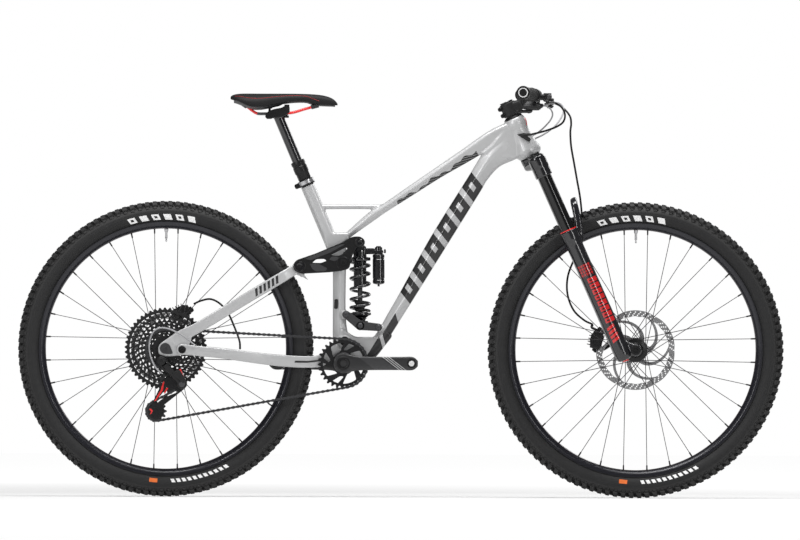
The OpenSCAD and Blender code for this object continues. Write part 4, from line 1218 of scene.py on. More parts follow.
def make_chainstay():
    arm = stay([
        [-548, 368, 84.3, 13, 3.6], [-530, 367, 84.0, 12.8, 4.2], [-500, 364, 82.5, 12.6, 5.5],
        [-440, 358, 77, 12.8, 6.5], [-380, 350, 64, 13.4, 6.5], [-335, 344.5, 52, 14, 6.5],
        [-286, 340, 45, 14.6, 6.3], [-230, 338, 42.5, 14.5, 6.2], [-200, 342, 38, 14.5, 6.4],
        [-178, 358, 30, 13.5, 6.2], [-156, 378, 27.8, 13, 6.0],
    ], 0.8, 0.8, 0.1)
    end = plate(circle(side_view(HORST), 14, 40), [], 80.7, 87.9, 1.4)
    eye = tube([MAIN_PIVOT + Y * y for y in (21.7, 22.6, 33.0, 33.9)], [14, 15, 15, 14], 40)
    yoke = block((-198, 0, 346), (13, 78, 27), 3.0)
    fused("chainstay_skin", merged(both_sides(merged(arm, end, eye)), yoke), "chainstay",
          frame_paint("chainstay_lacquer"), ["chainstay"], voxel=1.6, smooth=3)
    guard = plate(rounded([(-266, 336), (-264, 341.5), (-232, 340.5), (-200, 344), (-199, 340),
                           (-232, 336)], 2),
                  [], -50.2, -47.6, 0.8)
    piece("chainstay_guard", guard, "chainstay", MAT["rubber"])
    bolts = [cap(HORST, 87.6 * side, side, 9.6, 2.9) for side in (RIGHT, LEFT)]
    pins = [tube_between(HORST + Y * side * 74.8, HORST + Y * side * 88, 5.9) for side in (RIGHT, LEFT)]
    piece("horst_pivot_caps", merged(*bolts, *pins), "chainstay", MAT["black"],
          ["horst_pivot_bolts"])


def make_seatstay():
    arm = stay([
        [-568, 388, 77, 15, 3.4], [-545, 403, 76, 15, 4.2], [-512, 420, 71.5, 13.6, 5.5],
        [-480, 439, 65.5, 13.3, 6], [-400, 488, 48.5, 13.5, 6], [-340, 524, 43.5, 13.6, 6],
        [-296, 550, 41, 13.4, 6], [-280, 560, 35, 13, 6], [-262, 571, 30.4, 12.5, 6],
    ], 0.8, 0.75, 0.3)
    dropout = plate(rounded([(-606, 366), (-600, 384), (-570, 404), (-540, 412), (-520, 400), (-531, 372),
                             (-540, 355), (-560, 352), (-590, 350), (-604, 357)], 9), [], 74.1, 79.2, 1.3)
    axle_boss = plate(circle(side_view(REAR_AXLE), 18.5, 40), [], 74.1, 80.0, 1.3)
    eye = tube([ROCKER_REAR + Y * y for y in (24.3, 25, 35.6, 36.2)], [12.6, 13.5, 13.5, 12.6], 40)
    web = block((-254, 30.2, 561), (14, 12, 14), 2.4)
    bridge = tube([at(-247, 556, y) for y in (-30, -16, 16, 30)], [6.4, 5.6, 5.6, 6.4], 20)
    side_parts = both_sides(merged(arm, dropout, axle_boss, eye, web))
    fused("seatstay_skin", merged(side_parts, bridge), "seatstay",
          frame_paint("seatstay_lacquer", stay_marks()), ["seatstay"], voxel=1.6, smooth=3)
    fin = plate(rounded([(-262, 560), (-246, 561), (-232, 543), (-247, 551)], 2), [], -37, -24, 1.2)
    piece("seatstay_fin", fin, "seatstay", frame_paint("fin_lacquer"))
    teardrop = around([side_view(REAR_AXLE) + [-1, 1], side_view(REAR_AXLE) + [13, -9]], (13.5, 4.5))
    cover = plate(teardrop, [], -83.0, -79.6, 1.1)
    axle = tube([REAR_AXLE + Y * y for y in (-82.0, -81.6, 80, 82.6, 83.4)], [5.6, 6, 6, 9.6, 8.6], 32)
    piece("rear_axle_cover", merged(cover, axle, screw(REAR_AXLE, -82.8, RIGHT, 6.2, 1.6),
                                    screw(REAR_AXLE, 82.2, LEFT, 8.6, 2.2)),
          "seatstay", MAT["dark_panel"], ["rear_axle_bolt"])


def make_hanger():
    low = side_view(REAR_AXLE) + [-11, -30]
    outline = np.array([polar(13, a, side_view(REAR_AXLE)) for a in range(-30, 200, 12)]
                       + [polar(9.5, a, low) for a in range(170, 361, 12)])
    blade = plate(outline, [circle(side_view(REAR_AXLE), 6.2, 24)], -73.8, -69.9, 0.8)
    bolt_place = at(low[0], low[1])
    knuckle = tube([bolt_place + Y * y for y in (-98, -97, -84, -83, -74)], [9.6, 11, 11, 8, 7], 40)
    piece("hanger_blade", merged(blade, knuckle, screw(bolt_place, -97.4, RIGHT, 7.4, 2.0)), "seatstay",
          MAT["black_satin"], ["derailleur_hanger"])


def make_rocker():
    outline = rounded([(-266, 591), (-214, 609), (-150, 636), (-122, 652), (-98, 652), (-90, 634),
                       (-112, 624), (-120, 608), (-126, 592), (-128, 572), (-146, 566), (-180, 562),
                       (-252, 558), (-270, 568)], [12, 4, 8, 10, 14, 8, 10, 6, 8, 10, 10, 4, 14, 14])
    slots = [rounded([(-222, 586), (-212, 594.5), (-192, 595.5), (-186, 591), (-200, 585.5)], 3.4),
             rounded([(-175, 605.5), (-150, 618), (-138, 624.5), (-134, 622), (-150, 605.5), (-160, 603.5)],
                     3.0)]
    panels = [
        rounded([(-240, 596), (-214, 606), (-150, 632), (-140, 632), (-176, 612), (-226, 592)], 2.5),
        rounded([(-228, 583), (-206, 583.5), (-184, 572), (-188, 565), (-212, 564), (-222, 571)], 2.5),
        rounded([(-180, 594), (-172, 602), (-156, 601), (-158, 594), (-166, 590)], 2.0),
    ]
    plates, fronts = [], []
    for side in (RIGHT, LEFT):
        plates.append(plate(outline, slots, *sorted((37.5 * side, 43.6 * side)), 1.3))
        for panel in panels:
            fronts.append(plate(panel, [], *sorted((43.0 * side, 44.6 * side)), 0.5))
        for p, r in ((ROCKER_REAR, 15.5), (ROCKER_FRAME, 17.5), (SHOCK_TOP, 12.5)):
            plates.append(disc(p, 37.5 * side, 45.0 * side, r, 1.2))
        plates.append(turned([[4, 16.2], [9, 16.2], [10, 18], [10, 37.6], [4, 37.6]], across(SHOCK_TOP, side),
                             36, closed=True))
    piece("rocker_plates", merged(*plates), "rocker", MAT["black"], ["rocker_link"])
    piece("rocker_panels", merged(*fronts), "rocker", MAT["dark_panel"])
    bolts = []
    for side in (RIGHT, LEFT):
        bolts.append(cap(ROCKER_REAR, 45.0 * side, side, 12.6, 3.4))
        bolts.append(cap(SHOCK_TOP, 45.0 * side, side, 8.2, 2.8))
        bolts.append(tube_between(ROCKER_REAR + Y * side * 37.5, ROCKER_REAR + Y * side * 45, 6))
        bolts.append(tube_between(SHOCK_TOP + Y * side * 16.2, SHOCK_TOP + Y * side * 45, 4))
    piece("rocker_caps", merged(*bolts), "rocker", MAT["gloss"], ["rocker_bolts"])


def make_caliper(name, axes, body, cad, hose_side):
    """A two piston caliper with a bridge, cooling fins and a hose banjo. Its own X runs along the
    rotor's edge, its Z points away from the axle, and its middle is on the rotor."""
    parts = []
    for side in (-1, 1):
        parts.append(block((0, side * 8.6, 0), (44, 9.4, 30), 3.0, axes))
        face = Axes(axes(np.array([-7, side * 13.0, -1])), axes.x, axes.y * side)
        parts.append(turned([[0, -0.5], [9.5, -0.5], [9.5, 1.4], [8.6, 2.2], [7.2, 2.2], [6.6, 1.4],
                             [0, 1.4]],
                            face, 36))
        for k in range(4):
            parts.append(block((-15 + 7.5 * k, side * 6.0, 17.0), (2.2, 8, 9), 0.8, axes))
    parts.append(block((2, 0, 13), (26, 12, 7), 2.0, axes))
    for x in (-24, 24):
        parts.append(block((x, 9.0, -4), (14, 8.5, 12), 2.6, axes))
        bolt = Axes(axes(np.array([x, 9.0, 1])), axes.x, axes.z)
        parts.append(turned([[0, 0], [4.2, 0], [4.2, 3.4], [3.4, 4.2], [2, 4.2], [1.8, 2], [0, 2]], bolt, 24))
    banjo = Axes(axes(np.array([hose_side * 17, 13.4, 6])), axes.x, axes.y)
    parts.append(turned([[0, 0], [5.4, 0], [5.4, 4], [4, 5.4], [0, 5.4]], banjo, 28))
    piece(name, merged(*parts), body, MAT["black_satin"], [cad])


def make_rear_caliper():
    lean = math.radians(24)
    axes = Axes(at(-549, 460, 58.7), at(math.cos(lean), math.sin(lean)), at(-math.sin(lean), math.cos(lean)))
    make_caliper("rear_caliper_body", axes, "seatstay", "rear_brake_caliper", 1)


make_chainstay()
make_seatstay()
make_hanger()
make_rocker()
make_rear_caliper()


# ---------- shock ----------

SHOCK_LENGTH = float(np.linalg.norm(SHOCK_TOP - SHOCK_BASE))


def make_shock():
    top = SHOCK_LENGTH
    tube_part = turned([[6.5, 96.2], [14.6, 96.2], [15.8, 97.7], [15.8, 160], [16.6, 161], [26, 162.5],
                        [26.4, 164], [26.4, 169], [25.6, 170.6], [18, 171.4], [16.4, 173], [16.4, 186],
                        [14.8, 188], [9, 188], [9, 99], [6.5, 98]],
                       SHOCK, 56, closed=True)
    threads = [turned([[15.6, z], [16.5, z + 0.8], [15.6, z + 1.6]], SHOCK, 56) for z in range(138, 160, 3)]
    head = block((0, 0, 188), (31, 24, 26), 4.0, SHOCK)
    eye = tube([SHOCK((0, y, top)) for y in (-11, -10.2, 10.2, 11)], [10.2, 11, 11, 10.2], 40)
    bridge = block((24, 0, 186), (34, 17, 15), 3.5, SHOCK)
    piggy = Axes(SHOCK((46.5, 0, 0)), SHOCK.x, SHOCK.z)
    reservoir = turned([[0, 98], [2.6, 98], [2.6, 101.5], [7, 103], [13.2, 104.5], [14.8, 107], [14.8, 113],
                        [14.1, 114], [14.1, 118], [14.8, 119], [14.8, 165], [14.1, 166], [14.1, 170],
                        [14.8, 171], [14.8, 176], [13, 178], [10.2, 179], [9.4, 180], [9.4, 194],
                        [8.6, 196], [6, 196.5], [5.6, 199], [0, 199]], piggy, 44)
    neck = block((46.5, 0, 184), (24, 20, 12), 3.0, SHOCK)
    knob = turned([[0, 0], [4.6, 0], [5.2, 0.8], [5.2, 4.2], [4.4, 5], [0, 5]],
                  Axes(SHOCK((60, 0, 186)), SHOCK.z, SHOCK.x), 20)
    parts = merged(tube_part, *threads, head, eye, bridge, reservoir, neck, knob)
    piece("shock_damper", parts, "shock_upper", MAT["gloss"], ["shock_body"])

    shaft = turned([[0, 6], [6, 6], [6, 104], [5.4, 106.5], [0, 106.5]], SHOCK, 32)
    low_eye = tube([SHOCK((0, y, 0)) for y in (-12, -11, 11, 12)], [10.2, 11, 11, 10.2], 40)
    cup = turned([[6, 9], [10, 9], [12.5, 12], [14, 15], [15, 20], [21, 24.5], [26, 26], [27.2, 27.4],
                  [27.2, 31.5], [26.2, 32.5], [19.6, 32.5], [18.8, 34.6], [6, 34.6]], SHOCK, 56, closed=True)
    ribs = [turned([[16.2, z], [18.4 + k * 2.2, z + 0.9], [16.2, z + 1.8]], SHOCK, 48)
            for k, z in enumerate((17.5, 20.6, 23.6))]
    dial = turned([[0, 0], [4.4, 0], [4.8, 0.6], [4.8, 7.4], [4, 8.4], [0, 8.4]],
                  Axes(SHOCK((11, 0, 7)), SHOCK.z, SHOCK.x), 20)
    piece("shock_lower_eye", merged(low_eye, cup, *ribs, dial), "shock_lower",
          MAT["gloss"], ["shock_shaft"])
    piece("shock_shaft_rod", shaft, "shock_lower", MAT["dark_panel"])
    foot, top, travel = 35.0, 62.0, JOINTS["shock_stroke"]["range_m"][1] / MM
    wave = [[12.6 - 1.6 * math.cos((z - foot) * 0.7), z] for z in np.linspace(foot, top, 22)]
    bumper = piece("shock_bump_rubber", turned([[6.1, foot], *wave, [6.1, top]], SHOCK, 40, closed=True),
                   None, MAT["rubber"])
    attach(bumper, "shock_lower")
    tuple(SHOCK((0, 0, foot)) * MM)
    (96.2 - travel - foot - 0.5) / (top - foot)
    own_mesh(bumper)


def make_spring():
    """The coil, with its two end turns closed up and its wire ground flat by them."""
    low, high, turns, radius, wire = 36.3, 159.2, 5.5, 23.2, 3.7
    path = []
    steps = 44
    total = int(turns * steps)
    for i in range(total + 1):
        t = i / total
        lift = t + 0.035 * math.sin(2 * math.pi * t)
        a = 2 * math.pi * i / steps
        path.append(SHOCK((radius * math.cos(a), radius * math.sin(a), low + (high - low) * (2 * t - lift))))
    path = np.array(path)
    radii = np.full(len(path), wire)
    radii[:2] = wire * np.array([0.7, 0.95])
    radii[-2:] = wire * np.array([0.95, 0.7])
    coil = piece("shock_coil", tube(path, radii, 16), None, MAT["gloss"], ["shock_spring"])
    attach(coil, "shock_lower")
    travel = JOINTS["shock_stroke"]["range_m"][1] / MM
    seat = SHOCK((0, 0, low - wire))
    tuple(seat * MM)
    (high - low - travel) / (high - low)
    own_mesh(coil)


make_shock()
make_spring()


# ---------- fork ----------

LEG_X, LEG_Y = 12.0, 65.0
CROWN_LOW = -60.0


def in_head(p):
    """A point of the whole bike, in the steering axes."""
    d = np.asarray(p, float) - HEAD.origin
    return np.array([d @ HEAD.x, d @ HEAD.y, d @ HEAD.z])


FORK_AXLE = in_head(FRONT_AXLE)


def leg_axes(side):
    return Axes(HEAD(np.array([LEG_X, LEG_Y * side, 0.0])), HEAD.x, HEAD.z)


def make_crown():
    rings = []
    for y, x, a, b in ((-65, 11, 20, 12), (-48, 9, 19, 13), (-30, 4, 22, 12.5), (-14, 1, 26, 11),
                       (0, 0, 26.5, 10.5), (14, 1, 26, 11), (30, 4, 22, 12.5), (48, 9, 19, 13),
                       (65, 11, 20, 12)):
        rings.append(HEAD(oval((x, y, -22), (1, 0, 0), (0, 0, 1), a, b, 2.8, 28)))
    clamps = [turned([[0, CROWN_LOW + 1], [20.6, CROWN_LOW + 1], [21.5, CROWN_LOW + 2.5], [21.5, -36],
                      [22.3, -30], [22.3, -12], [20.5, -6], [18, -4], [0, -4]], leg_axes(side), 48)
              for side in (RIGHT, LEFT)]
    race = turned([[0, -22], [25, -20], [26.8, -12], [26.8, -2], [25.6, -0.8], [0, -0.8]], HEAD, 56)
    steerer = turned([[0, -2], [14.2, -2], [14.2, 147], [0, 147]], HEAD, 40)
    fused("fork_crown_forging", merged(loft(rings), *clamps, race, steerer), "steering",
          MAT["gloss"], ["fork_crown"], voxel=1.6, smooth=3)
    caps = []
    for side in (RIGHT, LEFT):
        caps.append(turned([[0, -4.4], [17.2, -4.4], [17.2, -2.6], [16.2, -1.6], [13.2, -1.6], [12.6, -0.2],
                            [12.6, 4], [11.8, 5], [5, 5], [4, 4], [0, 4]], leg_axes(side), 36))
    piece("fork_top_caps", merged(*caps), "steering", MAT["black"])


def make_stanchions():
    tubes = [turned([[0, -360], [17.5, -360], [17.5, -11], [0, -11]], leg_axes(side), 56)
             for side in (RIGHT, LEFT)]
    piece("fork_stanchion_tubes", merged(*tubes), "steering", MAT["stanchion"],
          ["fork_stanchions"])


def fork_marks():
    """Plain red blocks in place of the lettering on the lower legs."""
    top = HEAD(np.array([LEG_X, 0, 0]))

    def badge(paint):
        s = paint.along(top, -HEAD.z) - 299.0
        t = paint.along(top, HEAD.x) + 1.0
        grid = s.repeat(7.6).within(0.0, 5.6).either(s < 1.6) * (t + 40.0).repeat(6.4).within(0.0, 4.6)
        return s.within(0.0, 31.0) * t.within(-14.5, 17.0) * grid

    def blocks(paint):
        s = paint.along(top, -HEAD.z) - 336.0
        t = paint.along(top, HEAD.x)
        step = s.repeat(15.6)
        notch = step.within(4.5, 8.0) * (t + 2.0).within(-1.0, 9.0)
        return s.within(0.0, 124.0) * step.within(0.0, 12.0) * t.within(-7.0, 17.0) * (notch < 0.5)

    def row(paint):
        s = paint.along(top, -HEAD.z) - 466.0
        t = paint.along(top, HEAD.x)
        lean = s + t * 0.3
        return lean.within(0.0, 42.0) * lean.repeat(11.0).within(0.0, 7.4) * t.within(-11.0, 9.0)

    return badge, blocks, row


def fork_paint():
    paint = Paint("fork_lower_lacquer", 0.2, coat=0.6, coat_rough=0.06)
    tone = paint.mix(paint.noise(30.0, 3.0), (0.005, 0.005, 0.007), (0.008, 0.008, 0.010))
    for mark, colour in zip(fork_marks(), ((0.42, 0.008, 0.010), (0.52, 0.010, 0.012), (0.58, 0.012, 0.014))):
        tone = paint.mix(mark(paint), tone, colour)
    paint.colour(tone)
    fine = paint.noise(0.8, 2.0)
    paint.rough(fine, 0.16, 0.24)
    paint.bump(fine, 0.004, 0.3)
    return paint.material


def make_lowers():
    leg = turned([[17.7, -207], [22.2, -207], [23, -208], [23, -231], [22, -237], [20.8, -246], [20.6, -300],
                  [20.8, -420], [21.2, -500], [21.4, -532], [20.6, -548], [18, -557], [13, -560], [0, -560],
                  [0, -508], [17.7, -508]], leg_axes(LEFT), 48, closed=True)
    foot_rings = []
    for t in np.linspace(0, 1, 7):
        x = LEG_X + (FORK_AXLE[0] - LEG_X) * t
        z = -525 + (FORK_AXLE[2] + 525) * t
        foot_rings.append(HEAD(oval((x, 63.6, z), unit((0.7, 0, 0.71)), (0, 1, 0), 20 - 5.5 * t,
                                    14 - 5.2 * t, 2.6, 28)))
    lug = turned([[0, 55.2], [14, 55.2], [15, 56.4], [15, 70.8], [14, 71.8], [0, 71.8]],
                 Axes(HEAD(np.array([FORK_AXLE[0], 0, FORK_AXLE[2]])), HEAD.x, Y), 44)
    brace = []
    path = curve_through([[27, 61, -244], [34, 59, -228], [44, 53, -196], [49, 48, -172], [52.6, 40, -153],
                          [55, 24, -144], [55.4, 0, -142.5]], 5)
    for i, p in enumerate(path):
        ahead = unit(path[min(i + 1, len(path) - 1)] - path[max(i - 1, 0)])
        across_brace = unit(np.cross(ahead, (1, 0, 0.1)))
        thick = unit(np.cross(across_brace, ahead))
        t = i / (len(path) - 1)
        brace.append(HEAD(oval(p, thick, across_brace, 9.4 - 1.4 * t, 7.6 - 0.6 * t, 3.0, 24)))
    guide = block((26, 82, -214), (11, 8, 14), 2.4, HEAD)
    half = merged(leg, loft(foot_rings), lug, loft(brace))
    fused("fork_lower_casting", merged(both_sides(half), guide), "fork_lowers", fork_paint(),
          ["fork_lowers"], voxel=1.7, smooth=3)
    seals = [turned([[17.6, -206.6], [22.0, -206.6], [22.0, -205.4], [20.4, -204.4], [17.6, -204.4]],
                    leg_axes(side), 48, closed=True) for side in (RIGHT, LEFT)]
    piece("fork_dust_seals", merged(*seals), "fork_lowers", MAT["red"])
    feet = []
    for side in (RIGHT, LEFT):
        below = Axes(HEAD(np.array([LEG_X, LEG_Y * side, -558])), HEAD.x, -HEAD.z)
        feet.append(turned([[0, 0], [8, 0], [8, 4], [7, 5], [3.5, 5], [3, 3.4], [0, 3.4]], below, 28))
    piece("fork_foot_nuts", merged(*feet), "fork_lowers", MAT["red"])
    axle = tube([FRONT_AXLE + Y * y for y in (-71.9, 71.4, 72)], [7.4, 7.4, 6.6], 32)
    head = turned([[0, 72.1], [11, 72.1], [12, 72.9], [12, 75], [11.2, 76], [6, 76], [5.4, 73.6], [0, 73.6]],
                  across((FRONT_AXLE[0], 0, FRONT_AXLE[2]), RIGHT), 36)
    piece("front_axle_end", merged(axle, head), "fork_lowers", MAT["black"],
          ["front_axle_bolt"])


def make_front_caliper():
    centre = np.array([-33.0, 40.5, -486.0])
    outwards = unit(centre - [FORK_AXLE[0], 40.5, FORK_AXLE[2]])
    lean = Axes(HEAD(centre), outwards[2] * HEAD.x - outwards[0] * HEAD.z,
                outwards[0] * HEAD.x + outwards[2] * HEAD.z)
    make_caliper("front_caliper_body", lean, "fork_lowers", "front_brake_caliper", 1)
    arms = [tube([HEAD(np.array([-26, 54, z])), HEAD(np.array([-12, 61, z + 3]))], [6, 7], 20)
            for z in (-512, -468)]
    end = np.array([480.0, 68.0, 434.0])
    banjo = lean(np.array([17, 16, 6]))
    spout = tube(curve_through([banjo, banjo + Y * 5 + lean.x * 7, end - lean.x * 8, end], 5), 3.2, 16)
    piece("front_caliper_arms", merged(*arms, spout), "fork_lowers", MAT["black"])


make_crown()
make_stanchions()
make_lowers()
make_front_caliper()


# ---------- stem and handlebar ----------

BAR_CENTRE = np.array([57.4, 0.0, 130.0])
BAR_MID = HEAD(BAR_CENTRE)
BAR_BEND = BAR_MID + np.array([18.0, 150.0, 10.0])
BAR_END = BAR_MID + np.array([-20.0, 390.0, 16.0])
BAR_LINE = unit(BAR_END - BAR_BEND)


def bar_at(y):
    """A point of the bar's outer stretch, at distance y from the middle, on the left."""
    return BAR_BEND + (BAR_END - BAR_BEND) * (y - 150) / 240


def along_bar(y, side=LEFT):
    """Axes round the bar at distance y from the middle, with Z outwards."""
    place_at, line = bar_at(y), BAR_LINE
    if side == RIGHT:
        place_at, line = place_at * [1, -1, 1], line * [1, -1, 1]
    return Axes(place_at, np.cross(Y, line) if side == LEFT else np.cross(line, Y), line)


def make_stem():
    clamp = turned([[0, 113.2], [18.8, 113.2], [19.6, 114.4], [19.6, 146], [18.6, 147.3], [0, 147.3]], HEAD,
                   48)
    rings = []
    for x, z, w, h in ((0, 130.5, 15, 14.5), (14, 130.4, 16.5, 15.2), (30, 130.3, 17, 13.5),
                       (44, 130.2, 21, 15), (56, 130, 25.5, 20)):
        rings.append(HEAD(oval((x, 0, z), (0, 1, 0), (0, 0, 1), w, h, 3.4, 28)))
    grip = plate(np.array([side_view(HEAD(np.array([*polar(23, a, BAR_CENTRE[[0, 2]]), 0])[[0, 2, 1]]))
                           for a in range(0, 360, 12)]), [], -26, 26, 1.4)
    ears = [block((-19.5, 0, z), (15, 23, 10.5), 2.4, HEAD) for z in (121.5, 139)]
    fused("stem_body", merged(clamp, loft(rings), grip, *ears), "steering", MAT["black_satin"],
          ["stem"], voxel=1.4, smooth=3)
    face = []
    for y0, y1 in ((-25, -9), (9, 25)):
        outer = [polar(24.6, a, BAR_CENTRE[[0, 2]]) for a in range(-80, 81, 10)]
        inner = [polar(22.4, a, BAR_CENTRE[[0, 2]]) for a in range(80, -81, -10)]
        outline = [side_view(HEAD(np.array([p[0], 0, p[1]]))) for p in outer + inner]
        face.append(plate(outline, [], y0, y1, 0.8))
    for y in (-17, 17):
        for a in (-52, 52):
            x, z = polar(24.0, a, BAR_CENTRE[[0, 2]])
            out = HEAD.x * math.cos(math.radians(a)) + HEAD.z * math.sin(math.radians(a))
            face.append(turned([[0, -2], [4.6, -2], [4.6, 2.2], [3.6, 3], [2.2, 3], [2.0, 1.2], [0, 1.2]],
                               Axes(HEAD(np.array([x, y, z])), Y, out), 24))
    for z in (121.5, 139):
        for side in (RIGHT, LEFT):
            face.append(turned([[0, 0], [4.2, 0], [4.2, 2.4], [3.4, 3.2], [2, 3.2], [1.8, 1.4], [0, 1.4]],
                               Axes(HEAD(np.array([-21, 11.4 * side, z])), HEAD.x, Y * side), 24))
    piece("stem_faceplate", merged(*face), "steering", MAT["black"])
    top = turned([[0, 147.4], [15.5, 147.4], [17, 148.6], [17, 150], [16, 151.2], [6, 151.2], [5.4, 150],
                  [0, 150]],
                 HEAD, 44)
    piece("stem_top_cap", top, "steering", MAT["gloss"])


def make_handlebar():
    half = [(BAR_MID + Y * 0, 17.4), (BAR_MID + Y * 44, 17.4), (BAR_MID + np.array([1.0, 62, 0.6]), 16.2),
            (BAR_MID + np.array([9.0, 104, 5.2]), 13.4), (bar_at(148), 11.4), (bar_at(190), 11.1),
            (bar_at(300), 11.1), (bar_at(389.6), 11.1)]
    rows = [np.append(p * [1, -1, 1], r) for p, r in half[:0:-1]] + [np.append(p, r) for p, r in half]
    rows = curve_through(rows, 6)
    piece("handlebar_tube", tube(rows[:, :3], rows[:, 3], 32), "steering", MAT["black_satin"],
          ["handlebar"])


def make_grips():
    sleeve, ends, rings = [], [], []
    for side in (RIGHT, LEFT):
        axes = along_bar(256, side)
        profile = [[11.2, 0], [16.2, 0], [17, 0.8], [17, 4.6], [15.4, 6.4]]
        z = 9.0
        while z < 124:
            profile += [[14.6, z], [15.3, z + 1.0], [15.3, z + 2.6], [14.6, z + 3.6]]
            z += 4.4
        profile += [[15.0, 129.5], [11.2, 129.5]]
        sleeve.append(turned(profile, axes, 40, closed=True))
        ends.append(turned([[11.2, 129.8], [16.4, 129.8], [16.9, 130.6], [16.9, 136], [16.2, 137.0],
                            [12.6, 137.2], [12.2, 136.8], [9.6, 136.8], [9.2, 137.2], [0, 137.2], [0, 134],
                            [11.0, 134]], axes, 40,
                           closed=True))
        rings.append(turned([[9.7, 136.7], [12.1, 136.7], [12.1, 137.5], [9.7, 137.5]], axes, 40,
                            closed=True))
    piece("grip_sleeves", merged(*sleeve), "steering", MAT["rubber"], ["grips"])
    piece("grip_end_clamps", merged(*ends), "steering", MAT["black"])
    piece("grip_end_rings", merged(*rings), "steering", MAT["pale"])


# ---------- levers ----------

def make_levers():
    pivot = joint_at("left_brake_pull")
    ring = turned([[11.2, -6.4], [15.6, -6.4], [16.2, -5.6], [16.2, 5.6], [15.6, 6.4], [11.2, 6.4]],
                  along_bar(210), 40, closed=True)
    hinge = tube([bar_at(210) + at(-15.5, -3, -5.5), bar_at(210) + at(-15.5, -3, 5.5)], 4.0, 20)
    rows = curve_through([[359, 150, 997, 4.6], [361, 160, 998, 6.4], [362, 172, 999, 8.6],
                          [363, 196, 999.6, 9.2], [365, 226, 1000.4, 8.8], [366, 242, 1001, 8.4],
                          [366.2, 248, 1001, 6.6]], 5)
    body = tube(rows[:, :3], rows[:, 3], 24)
    neck = block((349, 210, 1001.5), (26, 11.5, 12), 3.0)
    bulge = turned([[0, 0], [9.6, 0], [10.2, 1], [10.2, 5.6], [9.2, 7], [0, 7]],
                   Axes(at(363, 1003.5, 186), X, unit((0.1, 0, 1))), 32)
    fork_low = turned([[0, -14.6], [6.6, -14.6], [7.2, -14], [7.2, -11.6], [6.6, -11.2], [0, -11.2]],
                      Axes(pivot + Z * 4.0, X, Z), 28)
    fork_high = turned([[0, 4.4], [7.4, 4.4], [7.8, 5.2], [7.8, 10], [6.6, 11.4], [3, 11.6], [2.6, 10.4],
                        [0, 10.4]],
                       Axes(pivot, X, Z), 28)
    pin = tube([pivot - Z * 10.5, pivot + Z * 11], 2.9, 20)
    half = merged(body, neck, bulge, ring, hinge, fork_high, fork_low, pin)
    piece("brake_lever_cylinders", both_sides(half), "steering", MAT["black_satin"],
          ["brake_lever_bodies"])
    dials = []
    nut = tube([at(374, 990, 164), at(366, 993, 169.5), at(362, 998, 173)], [3.4, 4.2, 4.2], 18)
    dials.append(nut)
    dials.append(turned([[0, 0], [5, 0], [5.4, 0.6], [5.4, 5], [4.6, 5.8], [0, 5.8]],
                        Axes(at(367, 1001, 247), X, unit((0.02, 1, 0))), 20))
    piece("brake_lever_dials", both_sides(merged(*dials)), "steering", MAT["grey"])


def make_blades():
    outline = [(364, 189), (372, 187.5), (379.6, 192), (381.6, 210), (382, 250), (378, 288), (371, 320),
               (366.5, 333), (362, 336.5), (358.6, 333.5), (359, 327), (363, 314), (367.6, 286), (369.6, 250),
               (367.5, 214), (364.4, 202)]
    shape = rounded(outline, 4, 3)
    for name, side in (("right", RIGHT), ("left", LEFT)):
        mirrored_shape = [(x, y * side) for x, y in shape]
        blade = plate(mirrored_shape, [circle((372, 196 * side), 3.1, 20)], 982.2, 989.8, 2.4, WORLD)
        piece(f"brake_blade_{name}_arm", blade, f"brake_blade_{name}", MAT["black"],
              [f"brake_blade_{name}"])


def make_pods():
    pivot_right = joint_at("shift_paddle_push")
    pivot_left = joint_at("dropper_paddle_push")
    for name, side, length, width, cad, pivot in (
            ("shifter_pod", RIGHT, 48, 34, "shifter_body", pivot_right),
            ("dropper_pod", LEFT, 32, 22, "dropper_remote_body", pivot_left)):
        p = bar_at(180) * [1, side, 1]
        ring = turned([[11.2, -4.4], [14.6, -4.4], [15.1, -3.8], [15.1, 3.8], [14.6, 4.4], [11.2, 4.4]],
                      along_bar(180, side), 36, closed=True)
        case_low = block((p[0] + 14 - length / 2, p[1], 976), (length, width, 12.5), 3.6)
        case_high = block((p[0] + 11 - length / 2, p[1], 984), (length * 0.72, width * 0.84, 11), 3.4,
                          taper=0.86)
        boss = turned([[0, 969.6], [7.6, 969.6], [8.4, 970.4], [8.4, 977], [0, 977]],
                      Axes((pivot[0], pivot[1], 0), X, Z), 30)
        pin = tube([at(pivot[0], 962.2, pivot[1]), at(pivot[0], 974, pivot[1])], 2.9, 18)
        barrel_y = {RIGHT: -160, LEFT: 166}[side]
        barrel = tube([at(336, 981, barrel_y - 8 * side), at(346, 980, barrel_y - 2 * side),
                       at(353, 980, barrel_y)],
                      [5.0, 5.0, 4.0], 20)
        piece(name, merged(ring, case_low, case_high, boss, pin, barrel), "steering",
              MAT["plastic"], [cad])


def make_paddles():
    for name, side, reach, joint in (("shift_paddle", RIGHT, 34, "shift_paddle_push"),
                                     ("dropper_paddle", LEFT, 30, "dropper_paddle_push")):
        pivot = joint_at(joint)
        px, py = pivot[0], abs(pivot[1])
        shape = rounded([(px + 3, py - 7.4), (px + 8, py + 1), (px + 5, py + 6.6),
                         (px - reach + 12, py + reach), (px - reach - 4, py + reach - 4),
                         (px - reach - 3, py + reach - 16), (px - 9, py - 1), (px - 6, py - 6)], 5, 4)
        shape = [(x, y * side) for x, y in shape]
        arm = plate(shape, [circle((px, pivot[1]), 3.1, 20)], 963.1, 968.9, 1.8, WORLD)
        rest = rounded([(px - reach + 10, py + reach - 1), (px - reach - 3, py + reach - 5),
                        (px - reach - 2, py + reach - 15), (px - reach + 12, py + reach - 12)], 4, 4)
        rest = [(x, y * side) for x, y in rest]
        pad = plate(rest, [], 961.6, 963.8, 0.9, WORLD)
        piece(f"{name}_arm", merged(arm, pad), name, MAT["black"], [name])


